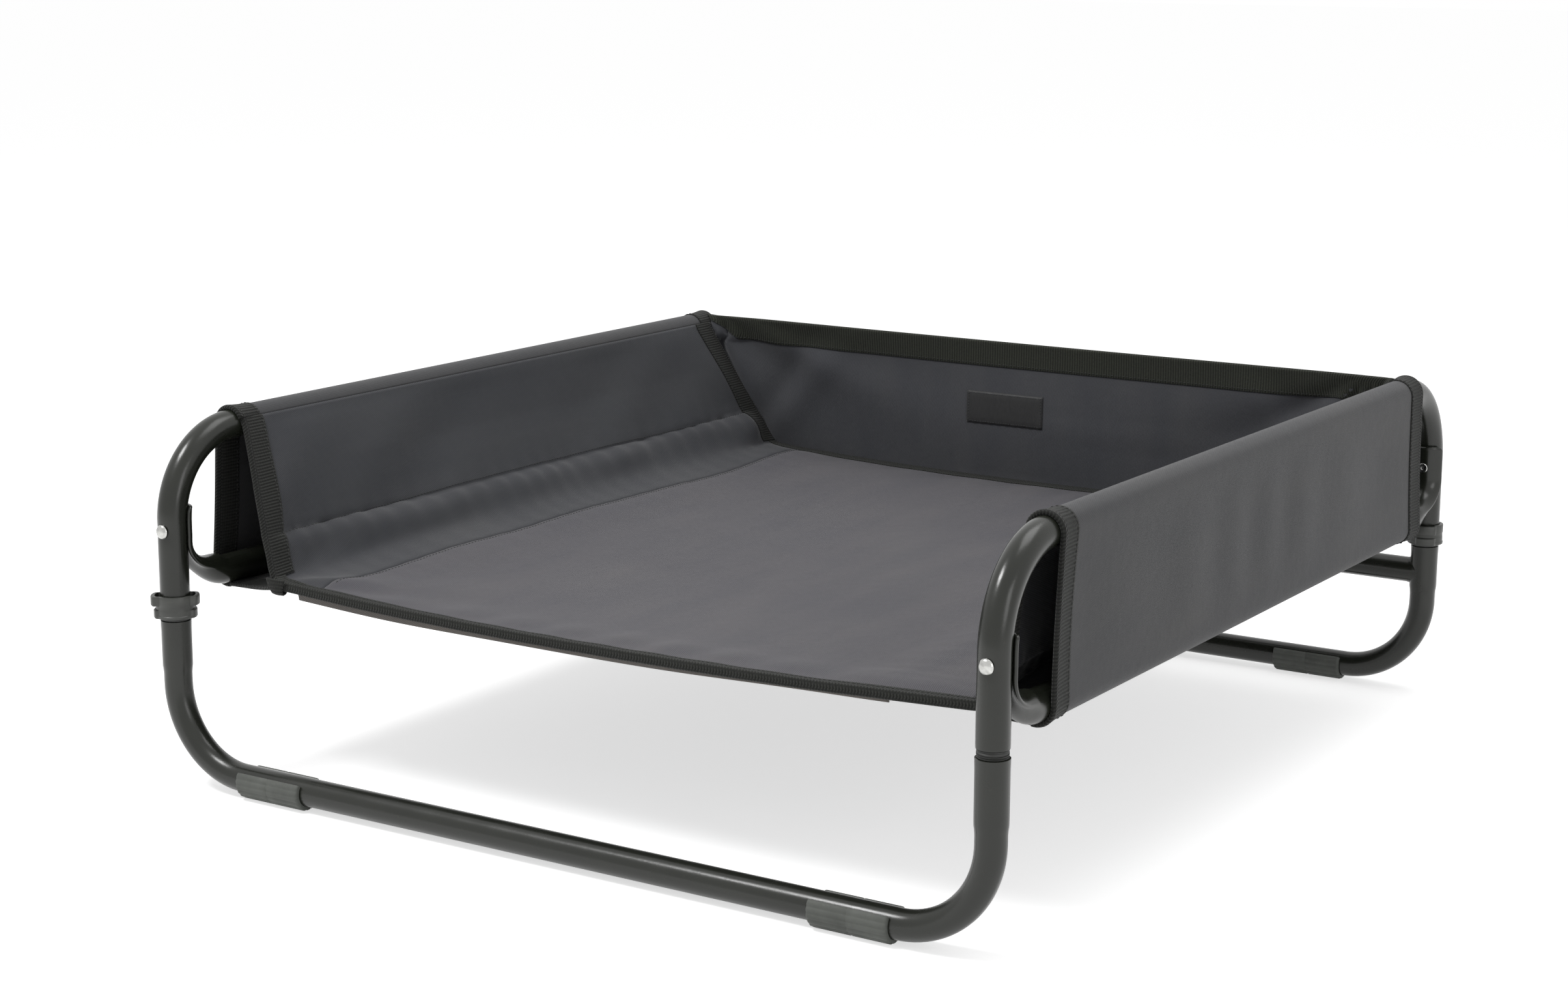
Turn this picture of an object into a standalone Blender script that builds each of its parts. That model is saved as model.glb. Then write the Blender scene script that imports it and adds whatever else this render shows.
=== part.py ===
"""Folding dog bed: tubular frame, fabric walls and seat. Metres, +Z up, front towards -Y."""
import math

import bmesh
import bpy
from mathutils import Matrix, Vector

# Frame, measured between leg centres
HALF_WIDTH = 0.345
HALF_DEPTH = 0.381
HOOP_R = 0.011
BASE_R = 0.0105
SOCKET_R = 0.0112
MOUTH_R = 0.0115
BEND_R = 0.065
BEND_STEPS = 10
TOP_Z = 0.2645
RUNNER_Z = 0.0138
CROSSBAR_Z = 0.1037
SOCKET_END_Z = 0.0885

# Leg joints
SWIVEL_Z = 0.13775
SWIVEL_HALF_GAP = 0.00295
COLLAR_STUB_Z = 0.1300
COLLAR_SOCKET_Z = 0.1262
BORE_R = 0.0095
STEM_R = 0.0092
PLUG_R = 0.0105
PLUG_CAP = 0.0012
GAP = 0.0003

# Snap collar
COLLAR_Z = 0.1283
COLLAR_R = 0.0144
COLLAR_BORE_R = 0.0113
UPPER_EAR = 0.0180
UPPER_EAR_HOLLOW = 0.0149
LOWER_EAR = 0.0160
LEFT_COLLAR_TURN = math.radians(40)
RIGHT_COLLAR_TURN = math.radians(110)

# Lower rails and rivets
RAIL_Z = 0.1545
RAIL_BEND_R = 0.030
RAIL_OFFSET = 0.024
SADDLE_IN_R = 0.0113
SADDLE_OUT_R = 0.0143
SADDLE_SPAN = math.radians(66)
SADDLE_TOP_Z = 0.2125
SADDLE_STEP_Z = 0.187
SADDLE_TURN = math.radians(60)
RIVET_Z = 0.1944
RIVET_R = 0.0024
RIVET_HOLE_R = 0.0027

# Feet
FOOT_X = 0.248
FOOT_LENGTH = 0.060
FOOT_IN_R = 0.0108
FOOT_GROOVE_R = 0.0134
FOOT_RIB_R = 0.0140
FOOT_WRAP = math.radians(125)
FOOT_RIBS = 13

# Fabric
SLEEVE_IN_R = 0.0113
SLEEVE_OUT_R = 0.0125
BINDING_IN_R = 0.0128
BINDING_OUT_R = 0.0138
BINDING_WIDTH = 0.022
SLEEVE_TOP_Y = 0.321
SLEEVE_LOW_Y = 0.328
SEAT_REAR_TOP_Y = 0.310
SEAT_LOW_Y = 0.345
SEAT_HALF_X = 0.330
SEAT_INSET = 0.002
SEAT_Z = 0.147
SEAT_RISE = 0.006
SEAT_THICK = 0.002
LEFT_CORNER_X = 0.280
RIGHT_CORNER_X = 0.318
CORNER_Z = 0.150
CORNER_ROUND = 0.008
WALL_TOP_Z = 0.255
HEM_HALF_X = 0.320
FLAT_COLUMNS = 9
WALL_COLUMNS = 6
PANEL_LOW_Y = 0.3455
PANEL_CORNER_Y = 0.316
PANEL_BOW = 0.026
PANEL_CORNER_Z = 0.2745
PANEL_SAG = 0.005
PANEL_THICK = 0.0016
WEBBING_WIDTH = 0.020
LABEL_X = -0.034
LABEL_SIZE = (0.076, 0.029)
LABEL_Z = 0.211

ROUND = 20


def clear_scene():
    for obj in list(bpy.data.objects):
        bpy.data.objects.remove(obj)


def new_material(name, colour, roughness, metallic=0.0):
    material = bpy.data.materials.new(name)
    material.use_nodes = True
    shader = material.node_tree.nodes["Principled BSDF"]
    shader.inputs["Base Color"].default_value = (*colour, 1.0)
    shader.inputs["Roughness"].default_value = roughness
    shader.inputs["Metallic"].default_value = metallic
    material.diffuse_color = (*colour, 1.0)
    return material


def add_part(name, mesh, look, turn=0.0, location=(0.0, 0.0, 0.0)):
    """Link one named solid with a material of its own, turned about the upright axis."""
    mesh = mesh.copy()
    mesh.materials.clear()
    mesh.materials.append(new_material(name, *LOOKS[look]))
    obj = bpy.data.objects.new(name, mesh)
    obj.rotation_euler = (0.0, 0.0, turn)
    obj.location = location
    PARTS.objects.link(obj)
    return obj


def mesh_from(bm, name):
    bmesh.ops.recalc_face_normals(bm, faces=bm.faces)
    mesh = bpy.data.meshes.new(name)
    bm.to_mesh(mesh)
    bm.free()
    return mesh


def evaluated_mesh(obj):
    """Mesh of an object with its modifiers, welded; the object itself is removed."""
    scene_parts = bpy.context.scene.collection
    scene_parts.objects.link(obj)
    graph = bpy.context.evaluated_depsgraph_get()
    mesh = bpy.data.meshes.new_from_object(obj.evaluated_get(graph))
    bpy.data.objects.remove(obj)
    bm = bmesh.new()
    bm.from_mesh(mesh)
    bmesh.ops.remove_doubles(bm, verts=bm.verts, dist=0.000002)
    return mesh_from(bm, mesh.name)


def tube(name, points, radii):
    """Round tube along a path, with a radius at each point and closed ends."""
    curve = bpy.data.curves.new(name, "CURVE")
    curve.dimensions = "3D"
    curve.bevel_depth = 1.0
    curve.bevel_resolution = (ROUND - 4) // 2
    curve.use_fill_caps = True
    spline = curve.splines.new("POLY")
    spline.points.add(len(points) - 1)
    for slot, point, radius in zip(spline.points, points, radii):
        slot.co = (*point, 1.0)
        slot.radius = radius
    return evaluated_mesh(bpy.data.objects.new(name, curve))


def cylinder(radius, start, end, segments=ROUND):
    """Cutting cylinder between two points."""
    start = Vector(start)
    end = Vector(end)
    bm = bmesh.new()
    bmesh.ops.create_cone(
        bm, cap_ends=True, segments=segments, radius1=radius, radius2=radius,
        depth=(end - start).length)
    turn = (end - start).to_track_quat("Z", "Y").to_matrix().to_4x4()
    bmesh.ops.transform(bm, matrix=Matrix.Translation((start + end) / 2) @ turn, verts=bm.verts)
    return mesh_from(bm, "cylinder")


def cut(mesh, cutters):
    """Mesh with each cutter taken away."""
    obj = bpy.data.objects.new("cut", mesh)
    tools = []
    for cutter_mesh in cutters:
        cutter = bpy.data.objects.new("cutter", cutter_mesh)
        cutter.hide_render = True
        cutter.display_type = "WIRE"
        CUTTERS.objects.link(cutter)
        tools.append(cutter)
        step = obj.modifiers.new("cut", "BOOLEAN")
        step.operation = "DIFFERENCE"
        step.solver = "EXACT"
        step.object = cutter
    result = evaluated_mesh(obj)
    for cutter in tools:
        bpy.data.objects.remove(cutter)
    return result


def turned(name, profile, segments=ROUND):
    """Turned solid about the upright axis; the profile runs down its outer side."""
    mesh = bpy.data.meshes.new(name)
    mesh.from_pydata(
        [(radius, 0.0, height) for radius, height in profile],
        [(i, i + 1) for i in range(len(profile) - 1)], [])
    obj = bpy.data.objects.new(name, mesh)
    screw = obj.modifiers.new("turn", "SCREW")
    screw.axis = "Z"
    screw.steps = segments
    screw.render_steps = segments
    screw.use_merge_vertices = True
    screw.merge_threshold = 0.00001
    return evaluated_mesh(obj)


def loft(name, rings, closed=False):
    """Skin over equal rings of points. Open lofts get end caps, closed ones join up."""
    bm = bmesh.new()
    rows = [[bm.verts.new(point) for point in ring] for ring in rings]
    pairs = list(zip(rows, rows[1:]))
    if closed:
        pairs.append((rows[-1], rows[0]))
    for near, far in pairs:
        for i in range(len(near)):
            j = (i + 1) % len(near)
            bm.faces.new((near[i], near[j], far[j], far[i]))
    if not closed:
        bm.faces.new(rows[0])
        bm.faces.new(rows[-1])
    bmesh.ops.triangulate(bm, faces=[face for face in bm.faces if len(face.verts) > 4])
    return mesh_from(bm, name)


def sheet(name, surface, columns, rows, thickness):
    """Thick sheet over a surface given as a function of (u, v) in 0..1."""
    bm = bmesh.new()
    grid = []
    for j in range(rows + 1):
        grid.append([bm.verts.new(surface(i / columns, j / rows)) for i in range(columns + 1)])
    for low, high in zip(grid, grid[1:]):
        for i in range(columns):
            bm.faces.new((low[i], low[i + 1], high[i + 1], high[i]))
    mesh = bpy.data.meshes.new(name)
    bm.to_mesh(mesh)
    bm.free()
    obj = bpy.data.objects.new(name, mesh)
    solid = obj.modifiers.new("thickness", "SOLIDIFY")
    solid.thickness = thickness
    solid.offset = 0.0
    return evaluated_mesh(obj)


def corner(centre, start, end):
    """Quarter circle of points from centre + start to centre + end."""
    points = []
    for step in range(BEND_STEPS + 1):
        angle = math.pi / 2 * step / BEND_STEPS
        points.append(
            Vector(centre) + math.cos(angle) * Vector(start) + math.sin(angle) * Vector(end))
    return points


def hoop_mesh():
    """Left hoop. The snap collar's stub is at the front and the swivel's stub at the rear."""
    x = -HALF_WIDTH
    high = TOP_Z - BEND_R
    stub_z = SWIVEL_Z + SWIVEL_HALF_GAP
    inner_y = HALF_DEPTH - BEND_R
    points = [Vector((x, -HALF_DEPTH, COLLAR_STUB_Z))]
    points += corner((x, -inner_y, high), (0, -BEND_R, 0), (0, 0, BEND_R))
    points += corner((x, inner_y, high), (0, 0, BEND_R), (0, BEND_R, 0))
    points.append(Vector((x, HALF_DEPTH, stub_z)))
    mesh = tube("hoop", points, [HOOP_R] * len(points))
    cutters = [
        cylinder(BORE_R, (x, -HALF_DEPTH, COLLAR_STUB_Z - 0.01), (x, -HALF_DEPTH, COLLAR_STUB_Z + 0.013)),
        cylinder(BORE_R, (x, HALF_DEPTH, stub_z - 0.01), (x, HALF_DEPTH, stub_z + 0.0185)),
    ]
    for side in (-1, 1):
        y = side * HALF_DEPTH
        cutters.append(cylinder(RIVET_HOLE_R, (x, y - 0.02, RIVET_Z), (x, y + 0.02, RIVET_Z), 12))
    return cut(mesh, cutters)


def base_mesh():
    """Front base frame. The snap collar's leg is on the left and the swivel's on the right."""
    y = -HALF_DEPTH
    inner_x = HALF_WIDTH - BEND_R
    low = RUNNER_Z + BEND_R
    swivel_top = SWIVEL_Z - SWIVEL_HALF_GAP
    left = [
        (COLLAR_SOCKET_Z, MOUTH_R),
        (COLLAR_SOCKET_Z - 0.010, SOCKET_R),
        (SOCKET_END_Z + 0.003, SOCKET_R),
        (SOCKET_END_Z, BASE_R),
    ]
    right = [
        (SOCKET_END_Z, BASE_R),
        (SOCKET_END_Z + 0.003, SOCKET_R),
        (swivel_top - 0.012, SOCKET_R),
        (swivel_top, MOUTH_R),
    ]
    bends = corner((-inner_x, y, low), (-BEND_R, 0, 0), (0, 0, -BEND_R))
    bends += corner((inner_x, y, low), (0, 0, -BEND_R), (BEND_R, 0, 0))
    points = [Vector((-HALF_WIDTH, y, z)) for z, _ in left]
    points += bends
    points += [Vector((HALF_WIDTH, y, z)) for z, _ in right]
    radii = [r for _, r in left] + [BASE_R] * len(bends) + [r for _, r in right]
    mesh = tube("base", points, radii)
    return cut(mesh, [
        cylinder(
            BORE_R, (-HALF_WIDTH, y, COLLAR_SOCKET_Z - 0.013), (-HALF_WIDTH, y, COLLAR_SOCKET_Z + 0.01)),
        cylinder(BORE_R, (HALF_WIDTH, y, swivel_top - 0.0185), (HALF_WIDTH, y, swivel_top + 0.01)),
    ])


def crossbar_mesh():
    """Bar between the rear legs, with its ends coped around them."""
    bar = cylinder(BASE_R, (-HALF_WIDTH, HALF_DEPTH, CROSSBAR_Z), (HALF_WIDTH, HALF_DEPTH, CROSSBAR_Z))
    cutters = []
    for side in (-1, 1):
        x = side * HALF_WIDTH
        cutters.append(cylinder(
            SOCKET_R + 0.0004, (x, HALF_DEPTH, CROSSBAR_Z - 0.03), (x, HALF_DEPTH, CROSSBAR_Z + 0.03), 32))
    return cut(bar, cutters)


def crescent(angles):
    """Saddle section about the leg centre, as (across, away from the leg)."""
    outer = [(SADDLE_OUT_R * math.sin(a), SADDLE_OUT_R * math.cos(a)) for a in angles]
    inner = [(SADDLE_IN_R * math.sin(a), SADDLE_IN_R * math.cos(a)) for a in reversed(angles)]
    return outer + inner


def circle_section(count):
    """Round section with its points in the order of the saddle section."""
    half = count // 2
    angles = [math.radians(-81 + 162 * i / (half - 1)) for i in range(half)]
    angles += [math.radians(99 + 162 * i / (half - 1)) for i in range(half)]
    return [(HOOP_R * math.sin(a), HOOP_R * math.cos(a)) for a in angles]


def leg_lean(z):
    """How far the leg has bent inwards at a height above the start of its bend."""
    rise = max(z - (TOP_Z - BEND_R), 0.0)
    return BEND_R - math.sqrt(BEND_R ** 2 - rise ** 2)


def rail_mesh():
    """Left lower rail: a round tube whose raised ends are pressed into saddles."""
    half = ROUND // 2
    angles = [-SADDLE_SPAN + 2 * SADDLE_SPAN * i / (half - 1) for i in range(half)]
    saddle = crescent(angles)
    round_part = [(a, RAIL_OFFSET + c) for a, c in circle_section(ROUND)]
    bend_z = RAIL_Z + RAIL_BEND_R
    front = []
    for z in (SADDLE_TOP_Z, 0.2090, 0.2050, TOP_Z - BEND_R, SADDLE_STEP_Z):
        lean = leg_lean(z) + (GAP if z > SADDLE_STEP_Z else 0.0)
        front.append([(a, b + lean, z) for a, b in saddle])
    for step in range(10):
        turn = math.pi / 2 * step / 9
        part = min(turn / SADDLE_TURN, 1.0)
        share = part * part * (3 - 2 * part)
        away = RAIL_OFFSET + RAIL_BEND_R * (1 - math.cos(turn))
        z = bend_z - RAIL_BEND_R * math.sin(turn)
        section = [
            (s[0] + (r[0] - s[0]) * share, s[1] + (r[1] - s[1]) * share - RAIL_OFFSET)
            for s, r in zip(saddle, round_part)]
        front.append([(a, away + c * math.cos(turn), z + c * math.sin(turn)) for a, c in section])
    rings = [[(-HALF_WIDTH + a, -HALF_DEPTH + b, z) for a, b, z in ring] for ring in front]
    rings += [[(x, -y, z) for x, y, z in ring] for ring in reversed(rings)]
    mesh = loft("rail", rings)
    cutters = []
    for side in (-1, 1):
        y = side * HALF_DEPTH
        cutters.append(cylinder(
            RIVET_HOLE_R, (-HALF_WIDTH, y - 0.02, RIVET_Z), (-HALF_WIDTH, y + 0.02, RIVET_Z), 12))
    return cut(mesh, cutters)


def bushing_mesh():
    """Swivel bushing: grooved ring with a stem up and a stem down."""
    ring = PLUG_R
    groove = ring - 0.0006
    face = SWIVEL_HALF_GAP - GAP
    upper = [
        (0.0, 0.0205), (STEM_R - 0.0005, 0.0205), (STEM_R, 0.0200), (STEM_R, face),
        (ring, face), (ring, 0.0016), (groove, 0.0013), (groove, 0.0009), (ring, 0.0006),
    ]
    return turned("bushing", upper + [(r, -z) for r, z in reversed(upper)])


def plug_mesh():
    """Tube plug: a cap with a stem that points up."""
    return turned("plug", [
        (0.0, 0.0118), (STEM_R - 0.0005, 0.0118), (STEM_R, 0.0113), (STEM_R, 0.0),
        (PLUG_R, 0.0), (PLUG_R, 0.0003 - PLUG_CAP), (PLUG_R - 0.0003, -PLUG_CAP), (0.0, -PLUG_CAP),
    ])


def rivet_mesh():
    """Rivet along -Y: domed head outside the leg and a flat tail inside the saddle."""
    head = HOOP_R + GAP
    tail = SADDLE_OUT_R + 2 * GAP
    mesh = turned("rivet", [
        (0.0, head + 0.0026), (0.0020, head + 0.0023), (0.0037, head + 0.0016), (0.0050, head + 0.0004),
        (0.0050, head), (RIVET_R, head), (RIVET_R, -tail), (0.0038, -tail),
        (0.0036, -tail - 0.0013), (0.0, -tail - 0.0015),
    ], 16)
    mesh.transform(Matrix.Rotation(math.pi / 2, 4, "X"))
    return mesh


def oval(half_x, half_y, z, count=28):
    points = []
    for i in range(count):
        angle = 2 * math.pi * i / count
        points.append((half_x * math.cos(angle), half_y * math.sin(angle), z))
    return points


def collar_mesh():
    """Snap collar: a plain wall at the front and rear, and two pairs of ears at its sides."""
    low_ear_top = 0.0062
    high_ear_low = 0.0098
    top = 0.0170
    edge = 0.0006
    rings = [
        oval(LOWER_EAR - edge, COLLAR_R - edge, 0.0),
        oval(LOWER_EAR, COLLAR_R, edge),
        oval(LOWER_EAR, COLLAR_R, low_ear_top),
        oval(COLLAR_R, COLLAR_R, low_ear_top + 0.0004),
        oval(COLLAR_R, COLLAR_R, high_ear_low - 0.0004),
        oval(UPPER_EAR, COLLAR_R, high_ear_low),
        oval(UPPER_EAR, COLLAR_R, top - edge),
        oval(UPPER_EAR - edge, COLLAR_R - edge, top),
        oval(UPPER_EAR_HOLLOW, COLLAR_BORE_R, top),
        oval(UPPER_EAR_HOLLOW, COLLAR_BORE_R, high_ear_low + 0.001),
        oval(COLLAR_BORE_R, COLLAR_BORE_R, high_ear_low),
        oval(COLLAR_BORE_R, COLLAR_BORE_R, 0.0),
    ]
    return loft("collar", rings, closed=True)


def foot_mesh():
    """Ribbed pad wrapped around the runner, open at the top and flat underneath."""
    outline = []
    for rib in range(FOOT_RIBS):
        for share, radius in ((0.0, FOOT_GROOVE_R), (0.25, FOOT_RIB_R), (0.75, FOOT_RIB_R)):
            angle = FOOT_WRAP * (2 * (rib + share) / FOOT_RIBS - 1)
            outline.append((radius, angle))
    outline.append((FOOT_GROOVE_R, FOOT_WRAP))
    for i in range(17):
        outline.append((FOOT_IN_R, FOOT_WRAP * (1 - i / 8)))
    rings = []
    half = FOOT_LENGTH / 2
    for x, shrink in ((-half, 0.0008), (-half + 0.0012, 0.0), (half - 0.0012, 0.0), (half, 0.0008)):
        ring = []
        for radius, angle in outline:
            r = radius - shrink if radius > FOOT_IN_R else radius
            z = max(-r * math.cos(angle), -RUNNER_Z + shrink)
            ring.append((x, r * math.sin(angle), RUNNER_Z + z))
        rings.append(ring)
    return loft("foot", rings)


def stadium(radius, count=10):
    """Loop around the top rail and the lower rail, as (across, height)."""
    points = []
    for i in range(count + 1):
        angle = math.pi * i / count
        points.append((radius * math.cos(angle), TOP_Z + radius * math.sin(angle)))
    for i in range(count + 1):
        angle = math.pi + math.pi * i / count
        points.append((radius * math.cos(angle), RAIL_Z + radius * math.sin(angle)))
    return points


def cloth_end(z, top_y, low_y):
    """Distance from the middle of the bed to a slanted cloth edge at a height."""
    share = min(max((TOP_Z - z) / (TOP_Z - RAIL_Z), 0.0), 1.0)
    return top_y + (low_y - top_y) * share


def sleeve_end(z):
    return cloth_end(z, SLEEVE_TOP_Y, SLEEVE_LOW_Y)


def seat_front(z):
    return SEAT_INSET - cloth_end(z, SLEEVE_TOP_Y, SEAT_LOW_Y)


def seat_rear(z):
    return cloth_end(z, SEAT_REAR_TOP_Y, SEAT_LOW_Y) - SEAT_INSET


def sleeve_mesh():
    """Fabric wall: a loop around both rails, open at its slanted ends."""
    outer = stadium(SLEEVE_OUT_R)
    inner = stadium(SLEEVE_IN_R)
    rings = []
    for loop, side in ((outer, -1), (outer, 1), (inner, 1), (inner, -1)):
        rings.append([(x, side * sleeve_end(z), z) for x, z in loop])
    return loft("sleeve", rings, closed=True)


def binding_mesh():
    """Webbing band around the outside of the sleeve's front end."""
    outer = stadium(BINDING_OUT_R)
    inner = stadium(BINDING_IN_R)
    rings = []
    for loop, inset in ((outer, 0.0), (outer, BINDING_WIDTH), (inner, BINDING_WIDTH), (inner, 0.0)):
        rings.append([(x, inset - sleeve_end(z), z) for x, z in loop])
    return loft("binding", rings, closed=True)


def seat_corner(x):
    """Distance from the middle of the bed to the seat's corner on the side of x."""
    return LEFT_CORNER_X if x < 0 else RIGHT_CORNER_X


def seat_height(x):
    """Height of the seat cloth: a low middle, a rounded corner and a wall that leans outwards."""
    across = abs(x)
    corner_x = seat_corner(x)
    seat = SEAT_Z + SEAT_RISE * (across / corner_x) ** 2
    wall = CORNER_Z + (across - corner_x) * (WALL_TOP_Z - CORNER_Z) / (SEAT_HALF_X - corner_x)
    return (seat + wall + math.hypot(seat - wall, CORNER_ROUND)) / 2


def seat_stations():
    """Places across the seat, closer together on the leaning walls."""
    sides = []
    for side in (-1, 1):
        bend = seat_corner(side) - 0.018
        places = [bend * i / FLAT_COLUMNS for i in range(FLAT_COLUMNS)]
        places += [bend + (SEAT_HALF_X - bend) * i / WALL_COLUMNS for i in range(WALL_COLUMNS + 1)]
        sides.append([side * x for x in places])
    return list(reversed(sides[0][1:])) + sides[1]


def seat_point(u, v):
    stations = seat_stations()
    x = stations[round(u * (len(stations) - 1))]
    z = seat_height(x)
    y = seat_front(z) * (1 - v) + seat_rear(z) * v
    dip = 0.002 * (1 - (2 * v - 1) ** 2) * max(1 - (x / seat_corner(x)) ** 2, 0.0)
    return (x, y, z - dip)


def panel_top(x):
    """Top edge of the back panel as (y, z): it bows to the rear and sags in the middle."""
    rise = 1 - (x / SEAT_HALF_X) ** 2
    return (PANEL_CORNER_Y + PANEL_BOW * rise, PANEL_CORNER_Z - PANEL_SAG * rise)


def panel_lean(x):
    top_y, top_z = panel_top(x)
    return (PANEL_LOW_Y - top_y) / (top_z - CORNER_Z)


def panel_at(x, z):
    return (x, PANEL_LOW_Y - panel_lean(x) * (z - CORNER_Z), z)


def panel_point(u, v):
    x = SEAT_HALF_X * (2 * u - 1)
    low_z = seat_height(x) - 0.001
    return panel_at(x, low_z + (panel_top(x)[1] - low_z) * v)


def label_point(u, v):
    x = LABEL_X + LABEL_SIZE[0] * (u - 0.5)
    place = panel_at(x, LABEL_Z + LABEL_SIZE[1] * (v - 0.5))
    return (x, place[1] - PANEL_THICK / 2 - GAP - 0.0005, place[2])


def hem_mesh():
    """Webbing folded around the seat's front edge and a part of the way up the leaning walls."""
    section = [
        (0.020, 0.0029), (-0.0010, 0.0029), (-0.0020, 0.0014), (-0.0020, -0.0014), (-0.0010, -0.0029),
        (0.020, -0.0029), (0.020, -0.0020), (-0.0004, -0.0020), (-0.0004, 0.0020), (0.020, 0.0020),
    ]
    rings = []
    for x in seat_stations():
        if abs(x) > HEM_HALF_X:
            continue
        z = seat_height(x)
        slope = (seat_height(x + 0.001) - seat_height(x - 0.001)) / 0.002
        normal = Vector((-slope, 1.0)).normalized()
        edge = seat_front(z)
        rings.append([(x + normal.x * out, edge + y, z + normal.y * out) for y, out in section])
    return loft("hem", rings)


def under_strip_mesh():
    """Second layer of cloth that shows below the front hem, deeper on the left."""
    rings = []
    for i in range(11):
        x = 0.248 * (i / 5 - 1)
        z = seat_height(x)
        top = z - 0.0034
        depth = 0.006 - 0.003 * i / 10
        near = seat_front(z) + 0.003
        rings.append([
            (x, near, top), (x, near + 0.0012, top),
            (x, near + 0.0012, top - depth), (x, near, top - depth)])
    return loft("under_strip", rings)


def back_webbing_mesh():
    """Webbing folded over the back panel's top edge."""
    section = [
        (-0.0025, -WEBBING_WIDTH), (-0.0025, 0.0008), (-0.0012, 0.0017), (0.0012, 0.0017),
        (0.0025, 0.0008), (0.0025, -WEBBING_WIDTH), (0.0017, -WEBBING_WIDTH), (0.0017, 0.0007),
        (-0.0017, 0.0007), (-0.0017, -WEBBING_WIDTH),
    ]
    rings = []
    for i in range(21):
        x = (SEAT_HALF_X - 0.0006) * (i / 10 - 1)
        top_y, top_z = panel_top(x)
        rings.append([(x, top_y + y - panel_lean(x) * min(z, 0.0), top_z + z) for y, z in section])
    return loft("back_webbing", rings)


LOOKS = {
    "frame": ((0.050, 0.052, 0.045), 0.35, 0.0),
    "collar": ((0.045, 0.047, 0.042), 0.45, 0.0),
    "rivet": ((0.80, 0.80, 0.78), 0.22, 1.0),
    "rubber": ((0.095, 0.100, 0.090), 0.75, 0.0),
    "plug": ((0.035, 0.036, 0.034), 0.55, 0.0),
    "wall": ((0.072, 0.074, 0.080), 0.85, 0.0),
    "seat": ((0.090, 0.088, 0.105), 0.85, 0.0),
    "webbing": ((0.022, 0.024, 0.019), 0.80, 0.0),
    "lining": ((0.180, 0.165, 0.150), 0.85, 0.0),
    "label": ((0.015, 0.015, 0.015), 0.60, 0.0),
}


def build_frame():
    hoop = hoop_mesh()
    base = base_mesh()
    rail = rail_mesh()
    bushing = bushing_mesh()
    plug = plug_mesh()
    rivet = rivet_mesh()
    foot = foot_mesh()
    collar = collar_mesh()
    add_part("left_hoop", hoop, "frame")
    add_part("right_hoop", hoop, "frame", turn=math.pi)
    add_part("left_lower_rail", rail, "frame")
    add_part("right_lower_rail", rail, "frame", turn=math.pi)
    add_part("front_base_frame", base, "frame")
    add_part("rear_base_frame", base, "frame", turn=math.pi)
    add_part("rear_crossbar", crossbar_mesh(), "frame")
    add_part("right_front_bushing", bushing, "plug", location=(HALF_WIDTH, -HALF_DEPTH, SWIVEL_Z))
    add_part("left_rear_bushing", bushing, "plug", location=(-HALF_WIDTH, HALF_DEPTH, SWIVEL_Z))
    corners = (("left_front", -1, -1, LEFT_COLLAR_TURN), ("right_rear", 1, 1, RIGHT_COLLAR_TURN))
    for name, side_x, side_y, turn in corners:
        x = side_x * HALF_WIDTH
        y = side_y * HALF_DEPTH
        add_part(name + "_upper_plug", plug, "plug", location=(x, y, COLLAR_STUB_Z - GAP))
        lower = add_part(name + "_lower_plug", plug, "plug", location=(x, y, COLLAR_SOCKET_Z + GAP))
        lower.rotation_euler = (math.pi, 0.0, 0.0)
        add_part(name + "_collar", collar, "collar", turn=turn, location=(x, y, COLLAR_Z))
    for side_name, side_x in (("left", -1), ("right", 1)):
        for end_name, side_y, turn in (("front", -1, 0.0), ("rear", 1, math.pi)):
            place = (side_x * HALF_WIDTH, side_y * HALF_DEPTH, RIVET_Z)
            add_part(f"{side_name}_{end_name}_rivet", rivet, "rivet", turn=turn, location=place)
            place = (side_x * FOOT_X, side_y * HALF_DEPTH, 0.0)
            add_part(f"{side_name}_{end_name}_foot", foot, "rubber", turn=turn, location=place)


def build_fabric():
    sleeve = sleeve_mesh()
    binding = binding_mesh()
    for side_name, side_x in (("left", -1), ("right", 1)):
        x = side_x * HALF_WIDTH
        add_part(side_name + "_sleeve", sleeve, "wall", location=(x, 0.0, 0.0))
        add_part(side_name + "_front_binding", binding, "webbing", location=(x, 0.0, 0.0))
        add_part(side_name + "_rear_binding", binding, "webbing", turn=math.pi, location=(x, 0.0, 0.0))
    columns = 2 * (FLAT_COLUMNS + WALL_COLUMNS)
    add_part("seat_panel", sheet("seat", seat_point, columns, 6, SEAT_THICK), "seat")
    add_part("back_panel", sheet("back", panel_point, 20, 7, PANEL_THICK), "wall")
    add_part("back_label", sheet("label", label_point, 4, 2, 0.0008), "label")
    add_part("back_webbing", back_webbing_mesh(), "webbing")
    add_part("front_hem_binding", hem_mesh(), "webbing")
    add_part("front_under_strip", under_strip_mesh(), "lining")


def hang(name, place, nodes):
    """Parent pieces that move together to an empty on their joint's axis, where they stand."""
    pivot = bpy.data.objects.new(name, None)
    pivot.location = place
    PARTS.objects.link(pivot)
    for node in nodes:
        part = PARTS.objects[node]
        part.parent = pivot
        part.matrix_parent_inverse = Matrix.Translation(-Vector(place))


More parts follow.
